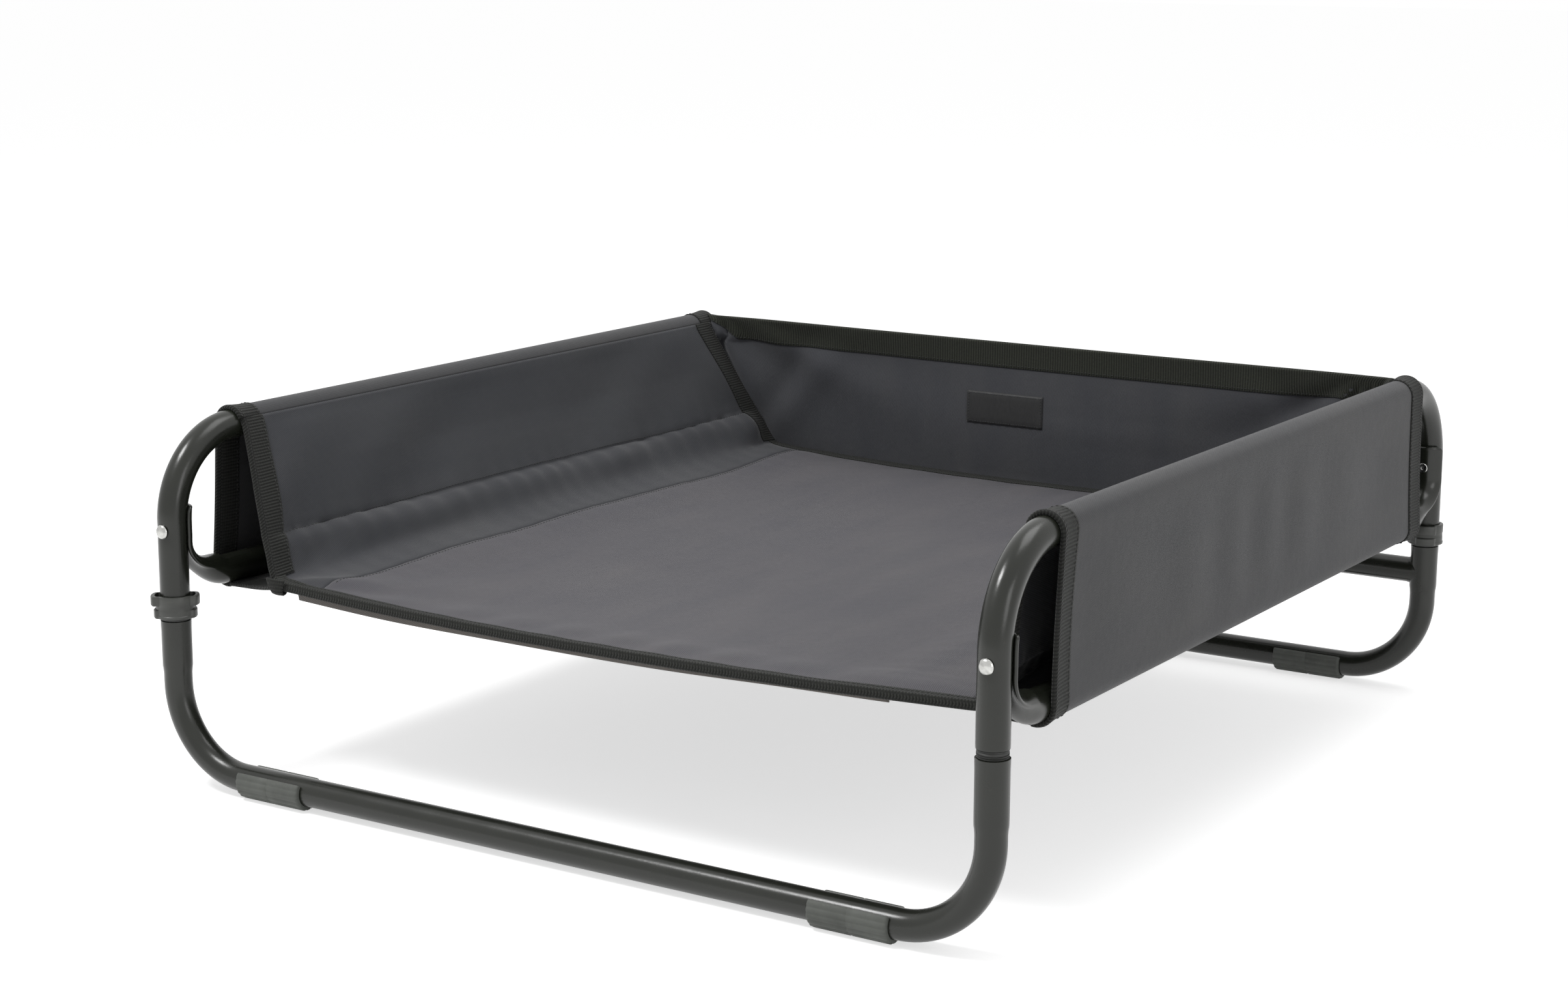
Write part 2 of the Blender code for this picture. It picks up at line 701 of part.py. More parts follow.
def build_joints():
    hang("front_base_swing", (HALF_WIDTH, -HALF_DEPTH, SWIVEL_Z), (
        "front_base_frame", "left_front_lower_plug", "left_front_foot", "right_front_foot"))
    hang("rear_base_swing", (-HALF_WIDTH, HALF_DEPTH, SWIVEL_Z), (
        "rear_base_frame", "rear_crossbar", "right_rear_lower_plug", "left_rear_foot", "right_rear_foot"))
    hang("side_close", (-HALF_WIDTH, 0.0, RAIL_Z), (
        "left_hoop", "left_lower_rail", "left_rear_bushing", "left_front_upper_plug",
        "left_front_rivet", "left_rear_rivet", "left_sleeve", "left_front_binding", "left_rear_binding"))


clear_scene()
PARTS = bpy.data.collections.new("folding_dog_bed")
CUTTERS = bpy.data.collections.new("cutters")
bpy.context.scene.collection.children.link(PARTS)
bpy.context.scene.collection.children.link(CUTTERS)
build_frame()
build_fabric()
build_joints()
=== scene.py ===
"""Looks of the folding dog bed: powder-coated tubes, woven cloth, webbing and small fittings."""
import math

import bmesh
import bpy
import numpy as np
from mathutils import Matrix, Vector


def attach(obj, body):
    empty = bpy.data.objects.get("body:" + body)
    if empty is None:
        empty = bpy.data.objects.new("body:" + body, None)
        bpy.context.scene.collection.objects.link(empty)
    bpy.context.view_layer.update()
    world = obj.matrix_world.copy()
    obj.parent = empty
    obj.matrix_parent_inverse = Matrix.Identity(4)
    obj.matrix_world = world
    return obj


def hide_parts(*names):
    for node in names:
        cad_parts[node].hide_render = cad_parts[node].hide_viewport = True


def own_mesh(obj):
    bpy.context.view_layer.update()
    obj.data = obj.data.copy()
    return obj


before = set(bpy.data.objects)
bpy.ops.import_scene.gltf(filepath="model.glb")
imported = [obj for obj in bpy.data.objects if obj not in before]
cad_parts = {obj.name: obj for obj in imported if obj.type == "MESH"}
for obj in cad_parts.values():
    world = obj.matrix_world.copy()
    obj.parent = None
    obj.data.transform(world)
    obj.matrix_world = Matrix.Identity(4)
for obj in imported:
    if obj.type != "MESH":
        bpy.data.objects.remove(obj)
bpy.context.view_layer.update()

# Frame, in metres, between leg centres
HALF_WIDTH = 0.345
HALF_DEPTH = 0.381
HOOP_R = 0.011
BASE_R = 0.0105
SOCKET_R = 0.0112
MOUTH_R = 0.0115
BORE_R = 0.0095
BEND_R = 0.065
TOP_Z = 0.2645
RUNNER_Z = 0.0138
CROSSBAR_Z = 0.1037
SOCKET_END_Z = 0.0885
SWIVEL_Z = 0.13775
SWIVEL_HALF_GAP = 0.00295
COLLAR_STUB_Z = 0.1300
COLLAR_SOCKET_Z = 0.1262
RAIL_Z = 0.1545
RAIL_BEND_R = 0.030
RAIL_OFFSET = 0.024
SADDLE_IN_R = 0.0113
SADDLE_OUT_R = 0.0143
SADDLE_SPAN = math.radians(66)
SADDLE_TOP_Z = 0.2125
SADDLE_TURN = math.radians(62)
RIVET_Z = 0.1944
RIVET_R = 0.0051

# Collars and feet
COLLAR_Z = 0.1283
COLLAR_R = 0.0144
UPPER_EAR = 0.0180
LOWER_EAR = 0.0160
LEFT_COLLAR_TURN = math.radians(40)
RIGHT_COLLAR_TURN = math.radians(110)
FOOT_X = 0.248
FOOT_LENGTH = 0.060
FOOT_WRAP = math.radians(125)
FOOT_RIBS = 13

# Cloth: the sleeves around the rails, the leaning walls, the seat and the back wall
CLOTH_R = 0.0121
LEFT_LEAN = math.radians(24)
RIGHT_LEAN = math.radians(8)
SLEEVE_TOP_Y = 0.317
SLEEVE_LOW_Y = 0.325
SEAT_REAR_TOP_Y = 0.310
SEAT_LOW_Y = 0.345
EDGE_INSET = 0.0015
LEFT_VALLEY = 0.036
RIGHT_VALLEY = 0.012
LEFT_CORNER_X = 0.280
RIGHT_CORNER_X = 0.318
CORNER_Z = 0.150
SEAT_Z = 0.146
SEAT_RISE = 0.007
SEAT_SAG = 0.0035
SEAM_DOWN = 0.091
FLAP_TURN = 0.44 * math.pi
PANEL_LOW_Y = 0.3455
PANEL_CORNER_Y = 0.316
PANEL_BOW = 0.026
PANEL_CORNER_Z = 0.2745
PANEL_SAG = 0.005
LABEL_X = -0.034
LABEL_Z = 0.211
LABEL_SIZE = (0.076, 0.029)
STRIP_X = -0.258
STRIP_LENGTH = 0.506

# How softly the seat turns up into a wall: at its ends, at its seam, and more in mid-length
EDGE_SOFTNESS = 0.008
SEAM_SOFTNESS = 0.014
END_SOFTNESS = 0.007
MID_SOFTNESS = 0.018

# Tapes, stitches and thicknesses
TAPE_WIDTH = 0.021
TAPE_RIM = 0.0015
TOP_RIM = 0.0016
RIM_REACH = 0.0026
HEM_WIDTH = 0.0115
HEM_RIM = 0.0033
HEM_GAP = 0.0012
CLOTH_GAP = 0.0009
STITCH_INSET = 0.0022
CLOTH_THICK = 0.0010
SLEEVE_THICK = 0.0009
STRIP_THICK = 0.0008
TAPE_THICK = 0.0007
LABEL_THICK = 0.0006
TAB_THICK = 0.0011

# Heights of the folds in the cloth
HEM_RIPPLE = 0.0011
HEM_ROLL = 0.0016
SEAT_WAVE = 0.0010
FRONT_CREASE = 0.0036
REAR_CREASE = 0.0028
SEAM_GATHER = 0.0009
SEAM_SINK = 0.0008
WALL_STREAK = 0.0046
WALL_BULGE = 0.0066
WALL_CREASE = 0.0055
PANEL_WAVE = 0.0022
PANEL_CREASE = 0.0085
PANEL_RIDGE = 0.0035
PANEL_HOLLOW = 0.0030

SIDES = 48
STATIONS = 177
ENDS = (("front", False), ("rear", True))

# Brightness of the floor where it is seen directly, and of the world as light on the object
FLOOR_GLOW = 0.62
WORLD_LIGHT = 0.45


# Materials

class Graph:
    """Nodes of a material or of the world, with short names for them."""

    def __init__(self, owner, shader="Principled BSDF"):
        owner.use_nodes = True
        self.owner = owner
        self.nodes = owner.node_tree.nodes
        self.links = owner.node_tree.links
        self.shader = self.nodes[shader]
        self.normal = None

    def put(self, socket, value):
        if isinstance(value, bpy.types.NodeSocket):
            self.links.new(value, socket)
        else:
            socket.default_value = value

    def set(self, **values):
        for name, value in values.items():
            socket = name.replace("_", " ").title().replace("Ior", "IOR")
            self.put(self.shader.inputs[socket], value)

    def math(self, operation, first, second=0.0, third=0.0):
        node = self.nodes.new("ShaderNodeMath")
        node.operation = operation
        for socket, value in zip(node.inputs, (first, second, third)):
            self.put(socket, value)
        return node.outputs[0]

    def wave(self, distance, pitch):
        """Smooth ripple from 0 to 1 with one crest per pitch of distance."""
        turn = self.math("MULTIPLY_ADD", distance, 2 * math.pi / pitch, 0.0)
        return self.math("MULTIPLY_ADD", self.math("SINE", turn), 0.5, 0.5)

    def cloth_place(self):
        """Distance along and across the cloth, in metres."""
        uv = self.nodes.new("ShaderNodeUVMap")
        uv.uv_map = "Cloth"
        split = self.nodes.new("ShaderNodeSeparateXYZ")
        self.links.new(uv.outputs[0], split.inputs[0])
        return split.outputs[0], split.outputs[1]

    def noise(self, scale, detail, on_cloth=False, stretch=(1.0, 1.0, 1.0), turn=0.0):
        if on_cloth:
            source = self.nodes.new("ShaderNodeUVMap")
            source.uv_map = "Cloth"
            place = source.outputs[0]
        else:
            source = self.nodes.new("ShaderNodeTexCoord")
            place = source.outputs["Object"]
        mapping = self.nodes.new("ShaderNodeMapping")
        mapping.inputs["Scale"].default_value = stretch
        mapping.inputs["Rotation"].default_value = (0.0, 0.0, turn)
        self.links.new(place, mapping.inputs["Vector"])
        node = self.nodes.new("ShaderNodeTexNoise")
        node.inputs["Scale"].default_value = scale
        node.inputs["Detail"].default_value = detail
        self.links.new(mapping.outputs[0], node.inputs["Vector"])
        return node.outputs[0]

    def ramp(self, value, low, high, start=0.3, end=0.7):
        """Colour low where the value is at start, colour high where it is at end."""
        node = self.nodes.new("ShaderNodeValToRGB")
        for element, place, colour in zip(node.color_ramp.elements, (start, end), (low, high)):
            element.position = place
            element.color = (*colour, 1.0)
        self.links.new(value, node.inputs[0])
        return node.outputs[0]

    def span(self, value, low, high, start=0.3, end=0.7):
        """Value from start to end, spread over low to high."""
        node = self.nodes.new("ShaderNodeMapRange")
        for socket, number in zip(node.inputs, (0.0, start, end, low, high)):
            socket.default_value = number
        self.links.new(value, node.inputs[0])
        return node.outputs[0]

    def times(self, colour, other):
        node = self.nodes.new("ShaderNodeVectorMath")
        node.operation = "MULTIPLY"
        self.put(node.inputs[0], colour)
        self.put(node.inputs[1], other)
        return node.outputs[0]

    def bump(self, height, distance, strength):
        node = self.nodes.new("ShaderNodeBump")
        node.inputs["Strength"].default_value = strength
        node.inputs["Distance"].default_value = distance
        self.links.new(height, node.inputs["Height"])
        if self.normal is not None:
            self.links.new(self.normal, node.inputs["Normal"])
        self.normal = node.outputs[0]
        self.put(self.shader.inputs["Normal"], self.normal)


def new_look(name):
    return Graph(bpy.data.materials.new(name))


def tint(colour, factor):
    return tuple(min(channel * factor, 1.0) for channel in colour)


def grey(level):
    return (level, level, level)


def powder_coat():
    g = new_look("powder_coat")
    base = (0.0135, 0.0150, 0.0110)
    coat = g.ramp(g.noise(14.0, 3.0), tint(base, 0.88), tint(base, 1.14))
    specks = g.ramp(g.noise(160.0, 4.0), grey(1.0), (1.5, 1.48, 1.42), 0.68, 0.78)
    g.set(base_color=g.times(coat, specks), roughness=g.span(g.noise(38.0, 4.0), 0.20, 0.30))
    g.set(specular_ior_level=0.46)
    g.bump(g.noise(420.0, 2.0), 0.00006, 0.5)
    g.bump(g.noise(60.0, 2.0), 0.00025, 0.35)
    return g.owner


def moulded_plastic(name, base, roughness):
    g = new_look(name)
    flow = g.noise(30.0, 3.0, stretch=(1.0, 1.0, 7.0))
    shine = g.span(g.noise(90.0, 3.0), roughness - 0.06, roughness + 0.06)
    g.set(base_color=g.ramp(flow, tint(base, 0.85), tint(base, 1.2)), roughness=shine)
    g.bump(g.noise(1500.0, 2.0), 0.00005, 0.5)
    g.bump(flow, 0.0004, 0.35)
    return g.owner


def bright_steel():
    g = new_look("bright_steel")
    tone = g.ramp(g.noise(300.0, 3.0), (0.40, 0.40, 0.385), (0.58, 0.58, 0.56))
    g.set(base_color=tone, roughness=g.span(g.noise(700.0, 3.0), 0.16, 0.30), metallic=1.0)
    g.bump(g.noise(500.0, 3.0), 0.00012, 0.6)
    return g.owner


def foot_rubber():
    g = new_look("foot_rubber")
    base = (0.100, 0.106, 0.096)
    tone = g.ramp(g.noise(45.0, 4.0), tint(base, 0.82), tint(base, 1.18))
    dust = g.ramp(g.noise(400.0, 4.0), grey(1.0), (1.25, 1.25, 1.22), 0.6, 0.8)
    g.set(base_color=g.times(tone, dust), roughness=g.span(g.noise(120.0, 3.0), 0.62, 0.78))
    g.bump(g.noise(2200.0, 2.0), 0.00006, 0.6)
    return g.owner


def woven(name, base, lines, slant, sheen=0.25, depth=1.0):
    """Twill cloth: steep lines across the weft, single threads along each line."""
    g = new_look(name)
    along, across = g.cloth_place()
    ridge = g.wave(g.math("MULTIPLY_ADD", along, slant, across), lines)
    threads = g.math("MULTIPLY", ridge, g.wave(along, lines * 0.42))
    weave = g.math("MULTIPLY_ADD", threads, 0.45, g.math("MULTIPLY", ridge, 0.55))
    slub = g.noise(260.0, 3.0, True, (1.0, 6.0, 1.0))
    slant_noise = g.noise(9.0, 3.0, True, (0.6, 3.2, 1.0), 0.7)
    tone = g.ramp(weave, tint(base, 1 - 0.30 * depth), tint(base, 1 + 0.26 * depth), 0.0, 1.0)
    worn = g.ramp(g.noise(11.0, 4.0, True), (0.93, 0.93, 0.95), (1.08, 1.07, 1.05))
    flecks = g.ramp(slub, (0.90, 0.90, 0.91), grey(1.12), 0.35)
    streaks = g.ramp(slant_noise, (0.91, 0.92, 0.94), (1.09, 1.08, 1.06), 0.35)
    for layer in (worn, flecks, streaks):
        tone = g.times(tone, layer)
    g.set(base_color=tone, roughness=g.span(slub, 0.66, 0.84))
    g.set(sheen_weight=sheen, sheen_roughness=0.42, specular_ior_level=0.35)
    g.bump(weave, 0.00022 * depth, 0.7)
    g.bump(g.noise(75.0, 3.0, True), 0.0009, 0.30)
    return g.owner


def webbing(name, base, rim_centre, rim_half):
    """Ribbed tape. Its ribs run across it, and its folded rim is a fine braid."""
    g = new_look(name)
    along, across = g.cloth_place()
    ribs = g.math("MULTIPLY", g.wave(along, 0.0024), 0.75)
    plain = g.math("MULTIPLY_ADD", g.wave(across, 0.0011), 0.25, ribs)
    from_rim = g.math("ABSOLUTE", g.math("SUBTRACT", across, rim_centre))
    strands = g.math("MULTIPLY_ADD", g.wave(from_rim, 0.0023), 0.7, 0.3)
    knots = g.wave(g.math("MULTIPLY_ADD", from_rim, 0.55, along), 0.0024)
    on_rim = g.math("LESS_THAN", from_rim, rim_half)
    off_rim = g.math("SUBTRACT", 1.0, on_rim)
    braid = g.math("MULTIPLY", g.math("MULTIPLY", knots, strands), on_rim)
    height = g.math("ADD", braid, g.math("MULTIPLY", plain, off_rim))
    fuzz = g.noise(600.0, 3.0, True)
    tone = g.ramp(height, tint(base, 0.35), tint(base, 1.75), 0.0, 1.0)
    hairs = g.ramp(fuzz, grey(0.85), (1.25, 1.25, 1.2), 0.35)
    g.set(base_color=g.times(tone, hairs), roughness=g.span(fuzz, 0.62, 0.85))
    g.set(sheen_weight=0.10, sheen_roughness=0.5, specular_ior_level=0.22)
    g.bump(height, 0.0007, 0.9)
    return g.owner


def label_tape():
    g = new_look("label_tape")
    along, across = g.cloth_place()
    satin = g.wave(g.math("MULTIPLY_ADD", along, 0.4, across), 0.0007)
    tone = g.ramp(satin, grey(0.008), (0.020, 0.020, 0.021), 0.0, 1.0)
    patch = g.ramp(g.noise(60.0, 3.0, True), grey(0.9), grey(1.15))
    g.set(base_color=g.times(tone, patch), roughness=g.span(g.noise(300.0, 2.0, True), 0.45, 0.60))
    g.set(sheen_weight=0.15)
    g.bump(satin, 0.00012, 0.6)
    return g.owner


def thread(name, base):
    g = new_look(name)
    tone = g.ramp(g.noise(900.0, 2.0), tint(base, 0.7), tint(base, 1.35))
    g.set(base_color=tone, roughness=g.span(g.noise(500.0, 2.0), 0.5, 0.7))
    g.bump(g.noise(2500.0, 1.0, False, (1.0, 1.0, 0.3)), 0.0001, 0.5)
    return g.owner


def make_looks():
    fold = TAPE_WIDTH + 0.0023
    hem_fold = HEM_WIDTH + 0.0046
    return {
        "coat": powder_coat(),
        "collar": moulded_plastic("collar_plastic", (0.050, 0.052, 0.047), 0.42),
        "plug": moulded_plastic("plug_plastic", (0.034, 0.035, 0.033), 0.52),
        "steel": bright_steel(),
        "rubber": foot_rubber(),
        "wall": woven("wall_cloth", (0.044, 0.0445, 0.0465), 0.0012, 0.35, 0.25, 0.5),
        # Inner walls: the wall cloth painted darker and bluer, as painted shade inside the bed
        "inner_wall_painted_shade": woven("inner_wall_cloth", (0.037, 0.0385, 0.0435), 0.0012, 0.35, 0.25, 0.7),
        # Back wall: the wall cloth painted lighter, as painted light from the front
        "back_wall_painted_light": woven("back_wall_cloth", (0.066, 0.068, 0.075), 0.0012, 0.35, 0.25, 0.8),
        "seat": woven("seat_cloth", (0.077, 0.074, 0.083), 0.0014, 0.22),
        "tape": webbing("edge_webbing", (0.0110, 0.0116, 0.0100), fold, 0.0056),
        "hem_tape": webbing("hem_webbing", (0.0125, 0.0134, 0.0110), hem_fold, 0.0062),
        "top_tape": webbing("top_webbing", (0.022, 0.024, 0.018), fold, 0.0003),
        "lining": woven("lining_cloth", (0.170, 0.155, 0.140), 0.0010, 0.5, 0.15),
        "label": label_tape(),
        "thread": thread("black_thread", (0.012, 0.013, 0.012)),
        "grey_thread": thread("grey_thread", (0.040, 0.042, 0.045)),
    }


# Mesh helpers

def unit(vectors):
    vectors = np.asarray(vectors, float)
    return vectors / np.linalg.norm(vectors, axis=-1, keepdims=True)


def smooth(value):
    """Soft step from 0 to 1 as the value goes from 0 to 1."""
    value = np.clip(value, 0.0, 1.0)
    return value * value * (3 - 2 * value)


def ring_angles(count):
    return np.linspace(0, 2 * math.pi, count, endpoint=False)


def lengths(points):
    """Distance along a row of points, from 0."""
    steps = np.linalg.norm(np.diff(points, axis=0), axis=1)
    return np.concatenate([[0.0], np.cumsum(steps)])


def skin(rows, around=False, closed=False, caps=False):
    """Mesh over a grid of points (rows, columns, 3), with a UV map in metres."""
    rows = np.asarray(rows, float)
    count, width, _ = rows.shape
    middle = rows[count // 2]
    centre = rows[:, width // 2]
    if around:
        middle = np.vstack([middle, middle[:1]])
        centre = rows.mean(axis=1)
    if closed:
        centre = np.vstack([centre, centre[:1]])
    across = lengths(middle)
    along = lengths(centre)
    steps = np.meshgrid(
        np.arange(count if closed else count - 1), np.arange(width if around else width - 1), indexing="ij")
    a, b = [step.ravel() for step in steps]
    far = (a + 1) % count
    side = (b + 1) % width
    quads = np.stack([a * width + b, a * width + side, far * width + side, far * width + b], axis=1)
    u = np.stack([along[a], along[a], along[a + 1], along[a + 1]], axis=1).ravel()
    v = np.stack([across[b], across[b + 1], across[b + 1], across[b]], axis=1).ravel()
    faces = quads.tolist()
    if caps:
        faces.append(list(range(width)))
        faces.append([(count - 1) * width + i for i in range(width)])
    mesh = bpy.data.meshes.new("skin")
    mesh.from_pydata(rows.reshape(-1, 3).tolist(), [], faces)
    layer = mesh.uv_layers.new(name="Cloth")
    uv = np.zeros((len(mesh.loops), 2), np.float32)
    uv[:len(u), 0] = u
    uv[:len(v), 1] = v
    layer.data.foreach_set("uv", uv.ravel())
    return mesh


def finished(mesh, sharp=40.0, outward=True):
    if outward:
        bm = bmesh.new()
        bm.from_mesh(mesh)
        bmesh.ops.recalc_face_normals(bm, faces=bm.faces)
        bm.to_mesh(mesh)
        bm.free()
    mesh.shade_smooth()
    mesh.set_sharp_from_angle(angle=math.radians(sharp))
    return mesh


def piece(name, mesh, look, body, slot, *nodes):
    """Object on a body of the frame that stands for the nodes named."""
    obj = bpy.data.objects.new(name, mesh)
    bpy.context.scene.collection.objects.link(obj)
    mesh.materials.append(LOOKS[look])
    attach(obj, body)
    if nodes:
        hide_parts(*nodes)
    return obj


def folding(obj):
    """Cloth between the two sides, given a mesh of its own."""
    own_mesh(obj)
    return obj


def cloth(name, rows, look, body, slot, *nodes, thick=CLOTH_THICK, folds=True):
    """Piece of cloth over a grid of points, with its thickness."""
    obj = piece(name, finished(skin(rows), 70, False), look, body, slot, *nodes)
    solid = obj.modifiers.new("thickness", "SOLIDIFY")
    solid.thickness = thick
    solid.offset = 0.0
    return folding(obj) if folds else obj


def turned(profile, count=SIDES):
    """Mesh turned about the upright axis from (radius, height) points, closed at both ends."""
    angles = ring_angles(count)
    rows = [[(r * math.cos(a), r * math.sin(a), z) for a in angles] for r, z in profile]
    return skin(rows, around=True, caps=True)


def moved(mesh, place, turn=0.0):
    mesh.transform(Matrix.Translation(place) @ Matrix.Rotation(turn, 4, "Z"))
    return mesh


def other_corner(points):
    """The same points turned half way round the upright axis."""
    return np.asarray(points) * np.array([-1.0, -1.0, 1.0])


# Frame

def bent_path(corners, radius, step=0.003, arc_steps=26):
    """Points and directions along straight runs that quarter arcs join."""
    corners = [np.array(corner, float) for corner in corners]
    points = []
    ways = []
    start = corners[0]
    for i in range(1, len(corners)):
        way = unit(corners[i] - corners[i - 1])
        last = i == len(corners) - 1
        end = corners[i] if last else corners[i] - way * radius
        count = max(int(np.linalg.norm(end - start) / step), 1)
        for k in range(count + 1 if last else count):
            points.append(start + (end - start) * k / count)
            ways.append(way)
        if last:
            break
        after = unit(corners[i + 1] - corners[i])
        centre = end + after * radius
        for k in range(arc_steps):
            angle = math.pi / 2 * k / arc_steps
            points.append(centre - after * radius * math.cos(angle) + way * radius * math.sin(angle))
            ways.append(way * math.cos(angle) + after * math.sin(angle))
        start = corners[i] + after * radius
    return np.array(points), np.array(ways)


def tube_rows(points, ways, radii, flat_normal):
    """Rings around a path that lies in one plane, with a rolled lip and a bore at each end."""
    lip = ((0.022, BORE_R), (0.0003, BORE_R), (0.0, BORE_R + 0.0003), (0.0, -0.0005), (0.0002, -0.0001))
    angles = ring_angles(SIDES)
    side = np.array(flat_normal, float)

    def ring(point, way, radius):
        up = np.cross(way, side)
        return [point + radius * (math.cos(a) * side + math.sin(a) * up) for a in angles]

    def end_rings(point, way, inward, radius):
        rings = []
        for depth, size in lip:
            size = size if size > 0.002 else radius + size
            rings.append(ring(point + inward * depth, way, size))
        return rings

    rows = end_rings(points[0], ways[0], ways[0], radii[0])
    rows += [ring(p, w, r) for p, w, r in zip(points[1:-1], ways[1:-1], radii[1:-1])]
    rows += reversed(end_rings(points[-1], ways[-1], -ways[-1], radii[-1]))
    return np.array(rows)


def rivet_dimples(rows, x):
    """Press the tube in a little around each rivet, on its outer face."""
    distance = np.hypot(rows[..., 0] - x, rows[..., 2] - RIVET_Z)
    outside = np.abs(rows[..., 1]) > HALF_DEPTH
    depth = 0.0009 * np.exp(-(distance / 0.0075) ** 2) * outside
    rows[..., 1] -= np.sign(rows[..., 1]) * depth
    return rows


def hoop_rows():
    """Left hoop: the snap collar's stub is at the front and the swivel's stub at the rear."""
    x = -HALF_WIDTH
    corners = [
        (x, -HALF_DEPTH, COLLAR_STUB_Z), (x, -HALF_DEPTH, TOP_Z),
        (x, HALF_DEPTH, TOP_Z), (x, HALF_DEPTH, SWIVEL_Z + SWIVEL_HALF_GAP)]
    points, ways = bent_path(corners, BEND_R)
    rows = tube_rows(points, ways, [HOOP_R] * len(points), (1, 0, 0))
    return rivet_dimples(rows, x)


def leg_radius(z, top):
    """Radius of a base leg: plain tube, then a socket, then a slightly belled mouth."""
    socket = smooth((z - SOCKET_END_Z + 0.003) / 0.007)
    mouth = np.clip((z - top + 0.011) / 0.011, 0, 1)
    return BASE_R + (SOCKET_R - BASE_R) * socket + (MOUTH_R - SOCKET_R) * mouth ** 2


def base_rows():
    """Front base frame: the snap collar's leg is on the left and the swivel's on the right."""
    y = -HALF_DEPTH
    right_top = SWIVEL_Z - SWIVEL_HALF_GAP
    corners = [
        (-HALF_WIDTH, y, COLLAR_SOCKET_Z), (-HALF_WIDTH, y, RUNNER_Z),
        (HALF_WIDTH, y, RUNNER_Z), (HALF_WIDTH, y, right_top)]
    points, ways = bent_path(corners, BEND_R)
    tops = np.where(points[:, 0] < 0, COLLAR_SOCKET_Z, right_top)
    return tube_rows(points, ways, leg_radius(points[:, 2], tops), (0, 1, 0))


def crossbar_mesh():
    """Bar between the rear legs, with a weld bead around each end."""
    angles = ring_angles(72)

    def ring(x, radius):
        y = HALF_DEPTH + np.sin(angles) * radius
        return np.stack([x + 0 * angles, y, CROSSBAR_Z + np.cos(angles) * radius], axis=1)

    def bead_ring(side, swell, sink):
        radius = BASE_R + swell * (1 + 0.16 * np.sin(11 * angles + side) + 0.08 * np.sin(17 * angles))
        room = (SOCKET_R - 0.0003) ** 2 - (np.sin(angles) * radius) ** 2
        return ring(side * (HALF_WIDTH - np.sqrt(np.maximum(room, 0.0)) - sink), radius)

    bead = (
        (0.0004, -0.0006), (0.0004, 0.0), (0.00035, 0.0010), (0.0002, 0.0021), (0.0, 0.0030), (0.0, 0.0034))
    rows = [bead_ring(-1, swell, sink) for swell, sink in bead]
    rows += [ring(x, BASE_R) for x in np.linspace(-0.325, 0.325, 60)]
    rows += [bead_ring(1, swell, sink) for swell, sink in reversed(bead)]
    return skin(rows, around=True, caps=True)


def leg_lean(z):
    """How far the leg has bent inwards at a height above the start of its bend."""
    rise = max(z - (TOP_Z - BEND_R), 0.0)
    return BEND_R - math.sqrt(BEND_R ** 2 - rise ** 2)


def saddle_section(span, thickness):
    """Pressed tube end about the leg centre, with round edges, as (across, away from the leg)."""
    half = thickness / 2
    middle = SADDLE_IN_R + half
    section = []
    for side in (1, -1):
        face = middle + side * half
        angles = np.linspace(-side * span, side * span, 18)
        section += [(face * math.sin(a), face * math.cos(a)) for a in angles]
        for turn in math.pi * np.arange(1, 6) / 6:
            radius = middle + side * half * math.cos(turn)
            angle = side * (span + half * math.sin(turn) / middle)
            section.append((radius * math.sin(angle), radius * math.cos(angle)))
    return np.array(section)


def round_section():
    """Round tube section with its points in the order of the saddle section."""
    parts = [np.linspace(-80, 80, 18), np.linspace(80, 100, 7)[1:-1]]
    angles = np.radians(np.concatenate(parts + [part + 180 for part in parts]))
    return np.stack([HOOP_R * np.sin(angles), HOOP_R * np.cos(angles)], axis=1)


def rail_rows():
    """Left lower rail: a round tube whose raised ends are pressed into saddles."""
    wall = SADDLE_OUT_R - SADDLE_IN_R
    saddle = saddle_section(SADDLE_SPAN, wall)
    circle = round_section()
    bend_z = RAIL_Z + RAIL_BEND_R
    stations = [(SADDLE_TOP_Z, 0.62, 0.4 * wall), (SADDLE_TOP_Z - 0.0006, 0.80, 0.8 * wall)]
    stations += [(0.2110, 0.92, wall)]
    stations += [(z, 1.0, wall) for z in (0.2090, 0.2060, 0.2020, 0.1980, 0.1940, 0.1900)]
    front = []
    for z, span, thickness in stations:
        lean = leg_lean(z) + 0.0002
        front.append([(a, b + lean, z) for a, b in saddle_section(SADDLE_SPAN * span, thickness)])
    for turn in np.linspace(0, math.pi / 2, 36):
        away = RAIL_OFFSET + RAIL_BEND_R * (1 - math.cos(turn))
        z = bend_z - RAIL_BEND_R * math.sin(turn)
        pressed = saddle - np.array([0.0, RAIL_OFFSET])
        section = pressed + (circle - pressed) * smooth(turn / SADDLE_TURN)
        front.append([(a, away + c * math.cos(turn), z + c * math.sin(turn)) for a, c in section])
    front = np.array(front) - np.array([HALF_WIDTH, HALF_DEPTH, 0.0])
    rear = front[::-1] * np.array([1.0, -1.0, 1.0])
    return np.concatenate([front, rear])


def rivet_mesh():
    """Domed head on the outside, flat tail inside the saddle, axis along -Y."""
    head = HOOP_R - 0.0007
    tail = SADDLE_OUT_R - 0.0001
    profile = []
    for share in (0.02, 0.2, 0.4, 0.58, 0.74, 0.86, 0.95, 1.0):
        profile.append((RIVET_R * share, head + 0.0005 + 0.0027 * math.sqrt(1 - (0.97 * share) ** 2)))
    profile += [
        (RIVET_R + 0.0002, head + 0.0008), (RIVET_R, head + 0.0001), (0.0026, head), (0.0024, -tail),
        (0.0039, -tail), (0.0040, -tail - 0.0006), (0.0036, -tail - 0.0012), (0.0014, -tail - 0.0014),
        (0.0010, -tail - 0.0009), (0.0001, -tail - 0.0008)]
    mesh = turned(profile, 40)
    mesh.transform(Matrix.Rotation(math.pi / 2, 4, "X"))
    return mesh


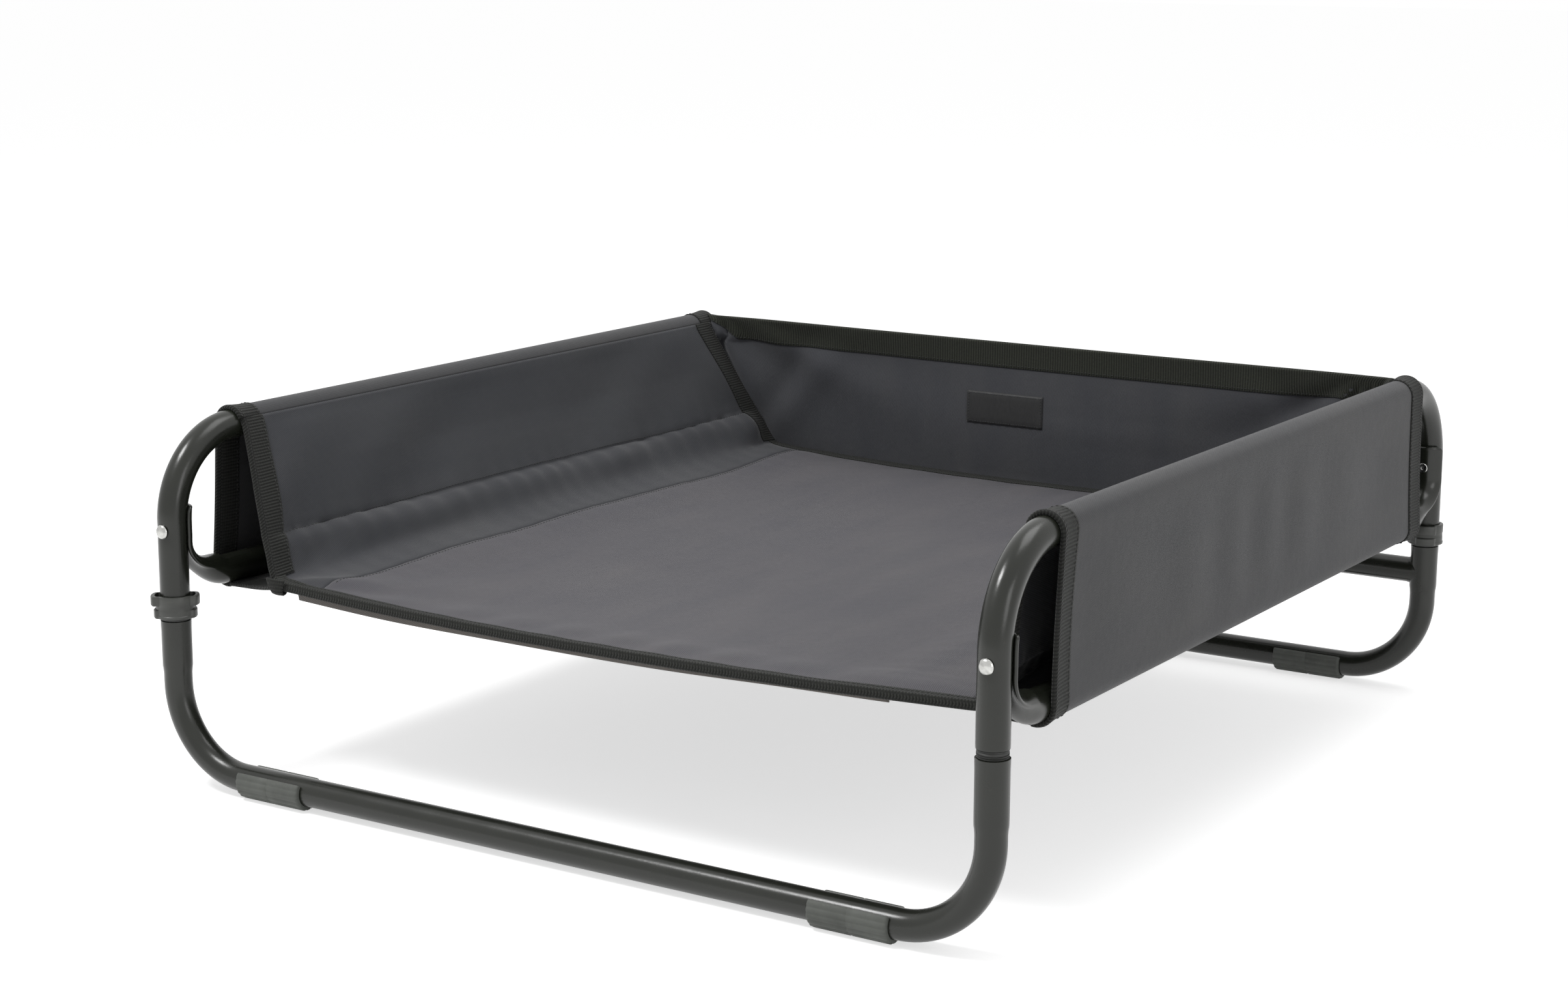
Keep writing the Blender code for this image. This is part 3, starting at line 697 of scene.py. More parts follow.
def bushing_mesh():
    """Grooved swivel ring between the two tubes, with its stems inside them."""
    ring = 0.0105
    face = SWIVEL_HALF_GAP - 0.0003
    upper = [(0.0001, 0.0200), (0.0088, 0.0200), (0.0092, 0.0196), (0.0092, face), (ring - 0.0002, face)]
    upper.append((ring, face - 0.0003))
    for centre in (0.0016, 0.0):
        upper += [(ring, centre + 0.0006), (ring - 0.0008, centre + 0.0003)]
    return turned(upper + [(r, -z) for r, z in reversed(upper)])


def collar_section(ear, wall):
    """Round wall with two ears, as (x, y)."""
    angles = ring_angles(120)
    radius = wall + (ear - wall) * smooth((np.abs(np.cos(angles)) - 0.80) / 0.11)
    return radius * np.cos(angles), radius * np.sin(angles)


def collar_mesh():
    """Snap collar: upper ears with a hollow behind them, a notch, lower ears and a bottom rim."""
    levels = [
        (0.0, LOWER_EAR - 0.0009, COLLAR_R - 0.0010), (0.0002, LOWER_EAR - 0.0003, COLLAR_R - 0.0002),
        (0.0007, LOWER_EAR, COLLAR_R + 0.0001),
        (0.0022, LOWER_EAR, COLLAR_R + 0.0001), (0.0026, LOWER_EAR, COLLAR_R - 0.0003),
        (0.0058, LOWER_EAR, COLLAR_R - 0.0003), (0.0063, LOWER_EAR - 0.0004, COLLAR_R - 0.0003),
        (0.0066, COLLAR_R - 0.0002, COLLAR_R - 0.0004), (0.0094, COLLAR_R - 0.0002, COLLAR_R - 0.0004),
        (0.0097, UPPER_EAR - 0.0005, COLLAR_R - 0.0003), (0.0102, UPPER_EAR, COLLAR_R - 0.0002),
        (0.0162, UPPER_EAR, COLLAR_R - 0.0001), (0.0168, UPPER_EAR - 0.0003, COLLAR_R - 0.0003),
        (0.0170, UPPER_EAR - 0.0009, COLLAR_R - 0.0009), (0.0170, 0.0151, 0.0118),
        (0.0166, 0.0149, 0.0114), (0.0106, 0.0149, 0.0113), (0.0100, 0.0114, 0.0113), (0.0, 0.0113, 0.0113)]
    rows = []
    for z, ear, wall in levels:
        x, y = collar_section(ear, wall)
        rows.append(np.stack([x, y, np.full(len(x), z)], axis=1))
    return skin(rows, around=True, closed=True)


def foot_mesh():
    """Ribbed pad around the runner, with a parting line half way and a flat sole."""
    inner = 0.0107
    angles = np.linspace(-FOOT_WRAP, FOOT_WRAP, FOOT_RIBS * 8 + 1)
    ribs = 0.5 - 0.5 * np.cos(2 * math.pi * FOOT_RIBS * (angles + FOOT_WRAP) / (2 * FOOT_WRAP))
    outer = 0.0134 + 0.0006 * np.sqrt(ribs)
    half = FOOT_LENGTH / 2
    end = [(-half, 0.0016), (-half + 0.0003, 0.0007), (-half + 0.001, 0.0001), (-half + 0.002, 0.0)]
    end += [(-0.0009, 0.0), (-0.0003, 0.00035)]
    stations = end + [(-x, shrink) for x, shrink in reversed(end)]
    rows = []
    for x, shrink in stations:
        radius = outer - shrink
        z = np.maximum(RUNNER_Z - radius * np.cos(angles), min(shrink, 0.0006))
        skin_out = np.stack([np.full(len(angles), x), radius * np.sin(angles), z], axis=1)
        back = angles[::-4]
        skin_in = np.stack([
            np.full(len(back), x), inner * np.sin(back), RUNNER_Z - inner * np.cos(back)], axis=1)
        rows.append(np.concatenate([skin_out, skin_in]))
    return skin(rows, around=True, caps=True)


def build_frame():
    shapes = (("hoop", hoop_rows(), 40, "hoop"), ("rail", rail_rows(), 50, "lower_rail"))
    for side, shape in (("left", np.array), ("right", other_corner)):
        for name, rows, sharp, node in shapes:
            mesh = finished(skin(shape(rows), around=True, caps=True), sharp)
            piece(f"{side}_{name}_tube", mesh, "coat", f"{side}_side", "frame_paint", f"{side}_{node}")
    for end, shape in (("front", np.array), ("rear", other_corner)):
        mesh = finished(skin(shape(base_rows()), around=True, caps=True))
        piece(f"{end}_base_tube", mesh, "coat", f"{end}_base", "frame_paint", f"{end}_base_frame")
    bar = finished(crossbar_mesh())
    piece("rear_crossbar_tube", bar, "coat", "rear_base", "frame_paint", "rear_crossbar")


def build_fittings():
    """Rivets, feet, swivel rings, snap collars and the look of the plugs inside them."""
    corners = (
        ("left", "front", -1, -1), ("right", "front", 1, -1),
        ("left", "rear", -1, 1), ("right", "rear", 1, 1))
    for side, end, side_x, side_y in corners:
        corner = f"{side}_{end}"
        y = side_y * HALF_DEPTH
        turn = 0.0 if end == "front" else math.pi
        rivet = moved(finished(rivet_mesh()), (side_x * HALF_WIDTH, y, RIVET_Z), turn)
        piece(f"{corner}_rivet_head", rivet, "steel", f"{side}_side", "rivet_steel", f"{corner}_rivet")
        foot = moved(finished(foot_mesh(), 50), (side_x * FOOT_X, y, 0.0), turn)
        piece(f"{corner}_foot_pad", foot, "rubber", f"{end}_base", "foot_rubber", f"{corner}_foot")
    for corner, body, side in (("right_front", "right_side", 1), ("left_rear", "left_side", -1)):
        ring = moved(finished(bushing_mesh()), (side * HALF_WIDTH, -side * HALF_DEPTH, SWIVEL_Z))
        piece(f"{corner}_swivel_ring", ring, "plug", body, "plug_plastic", f"{corner}_bushing")
    for corner, body, side, turn in (
            ("left_front", "left_collar", -1, LEFT_COLLAR_TURN),
            ("right_rear", "right_collar", 1, RIGHT_COLLAR_TURN)):
        collar = moved(finished(collar_mesh(), 35), (side * HALF_WIDTH, side * HALF_DEPTH, COLLAR_Z), turn)
        piece(f"{corner}_snap_collar", collar, "collar", body, "collar_plastic", f"{corner}_collar")
        for node in (f"{corner}_upper_plug", f"{corner}_lower_plug"):
            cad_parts[node].material_slots[0].material = LOOKS["plug"]


# Cloth

def cloth_end(z, top_y, low_y):
    """Distance from the middle of the bed to a slanted cloth edge at a height."""
    share = np.clip((TOP_Z - np.asarray(z, float)) / (TOP_Z - RAIL_Z), 0.0, 1.0)
    return top_y + (low_y - top_y) * share


def seat_front(z):
    return EDGE_INSET - cloth_end(z, SLEEVE_TOP_Y, SEAT_LOW_Y)


def seat_rear(z):
    return cloth_end(z, SEAT_REAR_TOP_Y, SEAT_LOW_Y) - EDGE_INSET


def side_of(x, left, right):
    return np.where(np.asarray(x) < 0, left, right)


def wall_top(side):
    """Where the leaning wall of a side leaves the top rail, as (across, height)."""
    lean = LEFT_LEAN if side < 0 else RIGHT_LEAN
    return HALF_WIDTH - CLOTH_R * math.cos(lean), TOP_Z + CLOTH_R * math.sin(lean)


def seat_profile(x, softness):
    """Height of the cloth across the bed: a low seat, a rounded corner and a leaning wall."""
    (left_x, left_z), (right_x, right_z) = wall_top(-1), wall_top(1)
    top_x = side_of(x, left_x, right_x)
    top_z = side_of(x, left_z, right_z)
    corner_x = side_of(x, LEFT_CORNER_X, RIGHT_CORNER_X)
    across = np.abs(x)
    seat = SEAT_Z + SEAT_RISE * (across / corner_x) ** 2
    wall = CORNER_Z + (across - corner_x) * (top_z - CORNER_Z) / (top_x - corner_x)
    soft = softness * np.clip((top_z - wall) / 0.06, 0, 1) * smooth((across - 0.12) / 0.08)
    return (seat + wall + np.hypot(seat - wall, soft)) / 2


def across_stations():
    """Places across the bed about 3.5 mm apart along the cloth, and where the two wall seams are."""
    sides = []
    seams = []
    for side in (-1, 1):
        fine = np.linspace(0, wall_top(side)[0], 3000)
        along = lengths(np.stack([fine, seat_profile(side * fine, SEAM_SOFTNESS)], axis=1))
        seam = along[-1] - SEAM_DOWN
        by_seam = seam + np.array([-0.0018, -0.0009, 0.0, 0.0009, 0.0018])
        marks = np.concatenate([np.arange(0, along[-1] - 0.001, 0.0035), by_seam, along[-1:]])
        marks = np.unique(np.round(marks, 5))
        keep = np.concatenate([[True], np.diff(marks) > 0.0006])
        sides.append(np.interp(marks[keep], along, fine))
        seams.append(float(np.interp(seam, along, fine)))
    return np.concatenate([-sides[0][:0:-1], sides[1]]), seams


def bell(value, width):
    return np.exp(-(value / width) ** 2)


def soft_noise(x, y, seed):
    """Smooth irregular field of about -1 to 1 over metres."""
    total = np.zeros(np.broadcast(x, y).shape)
    source = np.random.RandomState(seed)
    for _ in range(7):
        angle = source.uniform(0, 2 * math.pi)
        pitch = source.uniform(9, 34)
        phase = source.uniform(0, 6.28)
        total = total + np.sin(pitch * (x * math.cos(angle) + y * math.sin(angle)) + phase)
    return total / 4.0


def corner_folds(x, y, corner_x, corner_y, seed, reach=0.075, count=9.0):
    """Creases that fan out from a point where the cloth is held."""
    dx = x - corner_x
    dy = y - corner_y
    radius = np.hypot(dx, dy)
    angle = np.arctan2(dy, dx)
    fan = np.sin(count * angle + 2.2 * np.sin(3 * angle + seed))
    return fan * np.exp(-radius / reach) * np.clip(radius / 0.03, 0, 1)


def seat_folds(x, y, t, flat):
    """Ripples along the hem and the rear seam, a roll behind the hem and creases from the corners."""
    from_front = (t + 1) * SEAT_LOW_Y
    from_rear = (1 - t) * SEAT_LOW_Y
    ripple = np.sin(2 * math.pi * x / 0.052 + 1.7 * np.sin(11 * x)) * bell(from_front - 0.024, 0.022)
    ripple += 0.6 * np.sin(2 * math.pi * x / 0.061 + 0.8) * bell(from_rear - 0.020, 0.022)
    roll = bell(from_front - 0.036, 0.017) * (0.75 + 0.5 * soft_noise(x, y * 0.2, 3))
    out = (HEM_RIPPLE * ripple + HEM_ROLL * roll) * flat + SEAT_WAVE * soft_noise(x, y, 5)
    for side, corner_x in ((-1, LEFT_CORNER_X), (1, RIGHT_CORNER_X)):
        fold_x = side * (corner_x + 0.015)
        out += FRONT_CREASE * corner_folds(x, y, fold_x, -0.352, 0.7 * side)
        out += REAR_CREASE * corner_folds(x, y, fold_x, 0.352, 1.9 * side, 0.065, 8.0)
    free = 0.10 + 0.90 * smooth((np.minimum(from_front, from_rear) - 0.004) / 0.026)
    return out, free


def wall_folds(x, y, z, below, top_z):
    """Gathers along the wall's seam, loose cloth below it and slanting streaks."""
    beside = smooth((np.abs(x) - 0.19) / 0.05)
    gathers = np.sin(2 * math.pi * y / 0.026 + 2.0 * np.sin(23 * y))
    gathers += 0.6 * np.sin(2 * math.pi * y / 0.061 + 1.0)
    gathers *= np.where(below > 0, np.exp(-below / 0.018), 0.35 * np.exp(below / 0.010))
    drop = np.clip(below, 0, 1) / 0.012
    bulge = drop * np.exp(1 - drop) * (1 + 0.45 * soft_noise(1.3 * y, 0.4 * z, 13))
    streak = soft_noise(1.6 * z - 0.9 * y, 0.5 * (y + z), 11)
    streak += 0.6 * soft_noise(2.6 * z - 1.7 * y, 0.7 * y, 12)
    crease = corner_folds(y, z, -0.330, 0.150, 0.5, 0.085, 7.0)
    out = SEAM_GATHER * gathers - SEAM_SINK * bell(below, 0.0016) + WALL_BULGE * bulge
    loose = WALL_STREAK * streak * np.clip((top_z - z) / 0.04, 0, 1) + WALL_CREASE * crease
    return beside * (out + smooth((z - CORNER_Z) / 0.03) * loose)


def seat_rows():
    """Seat and both leaning walls on one grid, with folds and puckers."""
    xs, seams = across_stations()
    t, x = np.meshgrid(np.linspace(-1, 1, STATIONS), xs, indexing="ij")
    across = np.abs(x)
    corner_x = side_of(x, LEFT_CORNER_X, RIGHT_CORNER_X)
    top_z = side_of(x, wall_top(-1)[1], wall_top(1)[1])
    seam_z = seat_profile(side_of(x, -seams[0], seams[1]), SEAM_SOFTNESS)
    base_z = seat_profile(x, EDGE_SOFTNESS)
    y = seat_front(base_z) * (1 - t) / 2 + seat_rear(base_z) * (1 + t) / 2
    flat = np.clip(1 - (across / corner_x) ** 2, 0, 1)
    middle = 1 - t ** 2
    z = seat_profile(x, END_SOFTNESS + MID_SOFTNESS * middle) - SEAT_SAG * middle * flat
    held = np.clip((top_z - z) / 0.012, 0, 1)
    out, free = seat_folds(x, y, t, flat)
    out += wall_folds(x, y, z, seam_z - z, top_z)
    out -= SEAM_SINK * bell(across - corner_x + side_of(x, LEFT_VALLEY, RIGHT_VALLEY), 0.0022)
    grid = np.stack([x, y, z], axis=2)
    normal = unit(np.cross(np.gradient(grid, axis=1), np.gradient(grid, axis=0)))
    normal *= np.sign(normal[..., 2:3]) + (normal[..., 2:3] == 0)
    return grid + normal * (out * free * held)[..., None]


def sleeve_rows(lean):
    """Left sleeve cloth from the wall's top, over the top rail and down to below the lower rail."""
    loop = []
    for angle in np.linspace(lean, math.pi, 26):
        loop.append((CLOTH_R * math.cos(angle), TOP_Z + CLOTH_R * math.sin(angle), 0.0))
    for share in np.linspace(0, 1, 34)[1:-1]:
        loop.append((-CLOTH_R, TOP_Z + (RAIL_Z - TOP_Z) * share, math.sin(math.pi * share)))
    for angle in np.linspace(math.pi, 2 * math.pi - FLAP_TURN, 16):
        loop.append((CLOTH_R * math.cos(angle), RAIL_Z + CLOTH_R * math.sin(angle), 0.0))
    away, height, free = np.array(loop).T
    rows = []
    for t in np.linspace(-1, 1, STATIONS):
        y = t * cloth_end(height, SLEEVE_TOP_Y, SLEEVE_LOW_Y)
        fold = 0.0005 * np.sin(2 * math.pi * y / 0.083 + 2.1 * np.sin(14 * y))
        fold += 0.0008 * soft_noise(y, height * 0.5, 21)
        fold += 0.0011 * soft_noise(y * 0.8, height * 1.2 - 0.5 * y, 23) * (0.4 + abs(t))
        wider = 0.05 * np.clip((abs(t) - 0.96) / 0.04, 0, 1)
        x = -HALF_WIDTH + away * (1 + wider) + (0.0013 - fold) * free
        z = height + (height - np.clip(height, RAIL_Z, TOP_Z)) * wider
        rows.append(np.stack([x, y, z], axis=1))
    return np.array(rows)


def flap_rows(side, corner_columns):
    """Cloth from below the lower rail in to the seat's corner, then flat under the seat it is sewn to."""
    start_x = side * (HALF_WIDTH - CLOTH_R * math.cos(FLAP_TURN))
    start_z = RAIL_Z - CLOTH_R * math.sin(FLAP_TURN)
    share = np.linspace(0, 1, 24)
    below_seat = 0.00104
    rows = []
    for t, columns in zip(np.linspace(-1, 1, len(corner_columns)), corner_columns):
        slope = np.gradient(columns[:, 2], columns[:, 0])
        normal = unit(np.stack([-slope, 0 * slope, 1 + 0 * slope], axis=1))
        under = columns - below_seat * normal
        under[:, 1] -= 0.0025 * t
        corner = under[0]
        x = start_x + (corner[0] - start_x) * share
        sag = 0.0010 * np.sin(math.pi * share) * (1 + 0.5 * soft_noise(np.full(24, t * 0.35), x, 31))
        z = start_z + (corner[2] - start_z) * share ** 1.2 - sag
        y = t * SLEEVE_LOW_Y + (corner[1] - t * SLEEVE_LOW_Y) * smooth(share)
        rows.append(np.concatenate([np.stack([x, y, z], axis=1), under[1:]]))
    return np.array(rows)


def panel_top(x):
    """Top edge of the back panel as (y, z): it bows to the rear and sags in the middle."""
    rise = 1 - (x / wall_top(-1)[0]) ** 2
    return PANEL_CORNER_Y + PANEL_BOW * rise, PANEL_CORNER_Z - PANEL_SAG * rise


def panel_rows():
    """Back wall cloth from the seat's rear edge up, with folds at its upper corners."""
    left_x, right_x = 0.0012 - wall_top(-1)[0], wall_top(1)[0] - 0.0012
    x, share = np.meshgrid(np.linspace(left_x, right_x, 200), np.linspace(0, 1, 48))
    low_z = seat_profile(x, EDGE_SOFTNESS) - 0.0035
    top_y, top_z = panel_top(x)
    top_z = np.maximum(top_z, low_z + 0.002)
    z = low_z + (top_z - low_z) * share
    rise = (z - CORNER_Z) / (top_z - CORNER_Z)
    y = PANEL_LOW_Y + (top_y - PANEL_LOW_Y) * rise
    sewn = smooth(1 - (z - low_z) / side_of(x, 0.030, 0.070)) * smooth((z - CORNER_Z - 0.03) / 0.04)
    y += (np.minimum(seat_rear(z) + 0.0030, y) - y) * sewn
    out = PANEL_WAVE * soft_noise(x, z * 1.4, 41) - PANEL_HOLLOW
    for side in (-1, 1):
        out += PANEL_CREASE * corner_folds(x, z, side * 0.322, 0.284, 0.4 * side, 0.100, 13.0)
        out += PANEL_RIDGE * bell(x - side * 0.262 + side * (z - 0.22) * 0.6, 0.014)
        out -= PANEL_HOLLOW * bell(x - side * 0.232 + side * (z - 0.22) * 0.8, 0.018)
    out *= np.sin(math.pi * np.clip(rise, 0, 1))
    lean_x = CLOTH_R * side_of(x, math.cos(LEFT_LEAN), math.cos(RIGHT_LEAN))
    round_x = np.sqrt(np.clip(CLOTH_R ** 2 - (z - TOP_Z) ** 2, 0, None))
    to_rail = smooth((np.abs(x) - 0.25) / 0.08) * np.clip(lean_x - round_x - 0.0010, 0, None)
    return np.stack([x + np.sign(x) * to_rail, y + out, z], axis=2)


def edge_band(rows, last=False, step=0.0016):
    """The cloth next to an edge, at even steps along it, and the cloth's normals there."""
    grid = (rows[::-1] if last else rows)[:14]
    normals = unit(np.cross(np.gradient(grid, axis=1), np.gradient(grid, axis=0)))
    along = lengths(grid[0])
    marks = np.linspace(0, along[-1], max(int(along[-1] / step), 2))
    place = np.interp(marks, along, np.arange(len(along)))
    low = np.minimum(place.astype(int), len(along) - 2)
    part = (place - low)[None, :, None]
    points, ups = [field[:, low] * (1 - part) + field[:, low + 1] * part for field in (grid, normals)]
    return points, unit(ups)


def at_depth(band, depth):
    """Points and normals of the cloth at a distance in from its edge."""
    grid, normals = band
    steps = np.linalg.norm(np.diff(grid, axis=0), axis=2)
    reach = np.concatenate([np.zeros((1, grid.shape[1])), np.cumsum(steps, axis=0)])
    points = []
    ups = []
    for j in range(grid.shape[1]):
        place = np.interp(depth, reach[:, j], np.arange(len(reach)))
        low = min(int(place), len(reach) - 2)
        part = place - low
        points.append(grid[low, j] * (1 - part) + grid[low + 1, j] * part)
        ups.append(normals[low, j] * (1 - part) + normals[low + 1, j] * part)
    return np.array(points), unit(ups)


def folded_tape(band, width, rim, near):
    """Tape folded over a cloth's edge: a face on each side of the cloth and a round rim."""
    reach = min(rim, RIM_REACH)
    grid, normals = band
    inward = unit(grid[1] - grid[0])
    upper = []
    lower = []
    for share in (1.0, 0.93, 0.7, 0.45, 0.22, 0.08):
        points, ups = at_depth(band, width * share)
        lift = near + (rim - near) * (1 - share) ** 3
        upper.append(points + ups * lift)
        lower.append(points - ups * lift)
    fold = []
    for turn in np.linspace(0, math.pi, 9):
        fold.append(grid[0] + rim * normals[0] * math.cos(turn) - reach * inward * math.sin(turn))
    return np.stack(upper + fold + lower[::-1], axis=1)


def stitch_mesh(points, normals, length=0.0026, gap=0.0011, radius=0.00030):
    """Row of short threads along a path, each dipping into the cloth at its ends."""
    along = lengths(points)
    starts = np.arange(0.001, along[-1] - length, length + gap)
    shape = np.array([0.0, 0.18, 0.5, 0.82, 1.0])
    rise = np.array([-0.6, 0.35, 0.7, 0.35, -0.6]) * radius
    thick = np.array([0.35, 0.9, 1.0, 0.9, 0.35]) * radius
    turns = ring_angles(6)
    verts = []
    faces = []
    for start in starts:
        marks = start + shape * length
        centre = np.stack([np.interp(marks, along, points[:, k]) for k in range(3)], axis=1)
        up = unit(np.stack([np.interp(marks, along, normals[:, k]) for k in range(3)], axis=1))
        way = unit(centre[-1] - centre[0])
        side = unit(np.cross(np.broadcast_to(way, up.shape), up))
        base = len(verts)
        for k in range(5):
            for turn in turns:
                lift = rise[k] + thick[k] * math.sin(turn)
                verts.append(centre[k] + up[k] * lift + side[k] * thick[k] * math.cos(turn))
        for low in range(base, base + 24, 6):
            for j in range(6):
                i = (j + 1) % 6
                faces.append([low + j, low + i, low + 6 + i, low + 6 + j])
        faces.append([base + j for j in range(6)])
        faces.append([base + 24 + j for j in range(6)])
    mesh = bpy.data.meshes.new("stitches")
    mesh.from_pydata([tuple(v) for v in verts], [], faces)
    return finished(mesh, 60)


def tape(name, band, look, body, *nodes, folds=True, width=TAPE_WIDTH, rim=TAPE_RIM, near=CLOTH_GAP):
    rows = folded_tape(band, width, rim, near)
    return cloth(name, rows, look, body, "webbing", *nodes, thick=TAPE_THICK, folds=folds)


def stitch_rows(name, band, body, faces, folds=True, width=TAPE_WIDTH, near=CLOTH_GAP):
    """Stitch row on each face of a folded tape, near its inner border."""
    points, ups = at_depth(band, width - STITCH_INSET)
    rows = []
    for label, face in zip(faces, (1, -1)):
        mesh = stitch_mesh(points + face * ups * (near + 0.0004), face * ups)
        obj = piece(f"{name}_{label}_stitches", mesh, "thread", body, "webbing")
        rows.append(folding(obj) if folds else obj)
    return rows


def taped_ends(side, kind, rows, body):
    """Tapes and stitch rows on the front and rear edges of a sleeve or a wall."""
    sleeve = kind == "sleeve"
    extras = []
    for end, last in ENDS:
        band = edge_band(rows, last)
        name = f"{side}_{end}_{kind}_tape"
        nodes = [f"{side}_{end}_binding"] if sleeve else []
        extras.append(tape(name, band, "tape", body, *nodes, folds=not sleeve))
        extras += stitch_rows(name, band, body, ("inner", "outer"), not sleeve)
    return extras


def build_sleeves():
    right_rows = sleeve_rows(RIGHT_LEAN) * np.array([-1.0, 1.0, 1.0])
    for side, rows in (("left", sleeve_rows(LEFT_LEAN)), ("right", right_rows)):
        body = f"{side}_side"
        sleeve = cloth(
            f"{side}_sleeve_cloth", rows, "wall", body, "wall_fabric", f"{side}_sleeve",
            thick=SLEEVE_THICK, folds=False)
        extras = taped_ends(side, "sleeve", rows, body)


def build_seat():
    """Seat cloth and the leaning walls, with their tapes, seams and the flaps below."""
    rows = seat_rows()
    xs, seams = across_stations()

    def column(x):
        return int(np.argmin(np.abs(xs - x)))

    left_valley = LEFT_VALLEY - LEFT_CORNER_X
    right_valley = RIGHT_CORNER_X - RIGHT_VALLEY
    first, last = column(left_valley), column(right_valley)
    hem_first, hem_last = column(-LEFT_CORNER_X - 0.002), column(RIGHT_CORNER_X + 0.002)
    seat = cloth(
        "seat_cloth", rows[:, first:last + 1], "seat", "right_side", "seat_fabric", "seat_panel")
    hem_rows = rows[:, hem_first:hem_last + 1]
    band = edge_band(hem_rows)
    extras = [
        tape(
            "front_hem_tape", band, "hem_tape", "right_side", "front_hem_binding",
            width=HEM_WIDTH, rim=HEM_RIM, near=HEM_GAP),
        tape("rear_seam_tape", edge_band(hem_rows, True), "hem_tape", "right_side", width=HEM_WIDTH)]
    extras += stitch_rows(
        "front_hem", band, "right_side", ("upper", "lower"), width=HEM_WIDTH, near=HEM_GAP)
    build_wall("left", rows[:, :first + 1], rows[:, :hem_first + 1])
    build_wall("right", rows[:, last:], rows[:, hem_last:])
    for x, name, slot in (
            (-seams[0], "left_wall_seam", "wall_fabric"), (seams[1], "right_wall_seam", "wall_fabric"),
            (left_valley + 0.003, "left_seat_seam", "seat_fabric"),
            (right_valley - 0.003, "right_seat_seam", "seat_fabric")):
        seam_stitches(f"{name}_stitches", rows, column(x), slot)
    for side, name, corner_x in ((-1, "left", LEFT_CORNER_X), (1, "right", RIGHT_CORNER_X)):
        near = column(side * (corner_x - 0.007))
        build_flap(side, name, rows[:, [near - side * step for step in range(4)]])
    build_tab()


def build_flap(side, name, corner_columns):
    rows = flap_rows(side, corner_columns)
    flap = cloth(f"{name}_flap_cloth", rows, "wall", "right_side", "wall_fabric", thick=SLEEVE_THICK)
    for end, last in ENDS:
        tape(f"{name}_{end}_flap_tape", edge_band(rows, last), "tape", "right_side")


def build_wall(name, rows, tape_rows):
    """Leaning inner wall with a tape on its front and rear edges."""
    # The inner walls take the wall cloth with painted shade
    wall = cloth(f"{name}_inner_wall_cloth", rows, "inner_wall_painted_shade", "right_side", "wall_fabric")
    extras = taped_ends(name, "wall", tape_rows, "right_side")


def seam_stitches(name, rows, column, slot):
    """Stitch row from front to rear along one column of the seat grid."""
    line = rows[6:-6, column]
    normal = unit(np.cross(rows[6:-6, column + 1] - rows[6:-6, column - 1], np.gradient(line, axis=0)))
    normal *= np.sign(normal[:, 2:3])
    folding(piece(name, stitch_mesh(line + 0.0005 * normal, normal), "thread", "right_side", slot))


def build_tab():
    """End of the wall's tape, folded under the seat's left front corner."""
    path = (
        (-0.0042, 0.0036), (-0.0046, 0.0010), (-0.0046, -0.0020), (-0.0042, -0.0050), (-0.0032, -0.0074),
        (-0.0014, -0.0086), (0.0008, -0.0080), (0.0020, -0.0056), (0.0024, -0.0030), (0.0026, -0.0012))
    front_y = EDGE_INSET - SEAT_LOW_Y
    corner_z = float(seat_profile(-LEFT_CORNER_X, EDGE_SOFTNESS))
    bulge = 0.0008 * np.sin(math.pi * np.linspace(0, 1, 14))
    rows = []
    for y, height in path:
        drop = (0.0036 - height) / 0.0122
        xs = -np.linspace(LEFT_CORNER_X + 0.004 - 0.005 * drop, LEFT_CORNER_X - 0.014 + 0.004 * drop, 14)
        rows.append([(x, front_y + y - b, corner_z + height) for x, b in zip(xs, bulge)])
    cloth("left_corner_tab", rows, "tape", "right_side", "webbing", thick=TAB_THICK)


def build_back():
    """Back wall cloth, the webbing on its top edge and the bare label."""
    rows = panel_rows()
    # The back wall takes the wall cloth with painted light from the front
    wall = cloth(
        "back_cloth", rows, "back_wall_painted_light", "right_side", "wall_fabric", "back_panel", thick=SLEEVE_THICK)
    band = edge_band(rows, True)
    extras = [tape("back_top_webbing", band, "top_tape", "right_side", "back_webbing", rim=TOP_RIM)]
    extras += stitch_rows("back_top", band, "right_side", ("front", "rear"))
    build_label(rows)


def panel_place(rows, x, z):
    """Point on the back wall cloth at a place across and a height."""
    column = np.interp(x, rows[0, :, 0], np.arange(rows.shape[1]))
    low = int(column)
    part = column - low
    strip = rows[:, low] * (1 - part) + rows[:, min(low + 1, rows.shape[1] - 1)] * part
    y = np.interp(z, strip[:, 2], strip[:, 1])
    return np.array([x, y, z])


def build_label(rows):
    """Bare woven label sewn on the back wall, with a stitch row around it."""
    width, height = LABEL_SIZE
    grid = []
    for v in np.linspace(-0.5, 0.5, 16):
        line = []
        for u in np.linspace(-0.5, 0.5, 40):
            point = panel_place(rows, LABEL_X + width * u, LABEL_Z + height * v)
            edge = min(0.5 - abs(u), (0.5 - abs(v)) * height / width) * width
            puff = 0.0010 + 0.0004 * min(edge / 0.004, 1.0) + 0.0002 * math.sin(60 * u)
            line.append(point - np.array([0.0, puff, 0.0]))
        grid.append(line)
    grid = np.array(grid)
    label = cloth(
        "back_label_cloth", grid, "label", "right_side", "label_fabric", "back_label", thick=LABEL_THICK)
    half_u, half_v = 0.475, 0.44
    ring = []
    for way in (1, -1):
        ring += [(u, -way * half_v) for u in np.linspace(-way * half_u, way * half_u, 60)]
        ring += [(way * half_u, v) for v in np.linspace(-way * half_v, way * half_v, 24)]
    points = np.array([panel_place(rows, LABEL_X + width * u, LABEL_Z + height * v) for u, v in ring])
    points[:, 1] -= 0.0016
    normals = np.tile([0.0, -1.0, 0.0], (len(points), 1))
    mesh = stitch_mesh(points, normals, 0.0018, 0.0008, 0.00022)
    stitches = folding(piece("back_label_stitches", mesh, "grey_thread", "right_side", "label_fabric"))


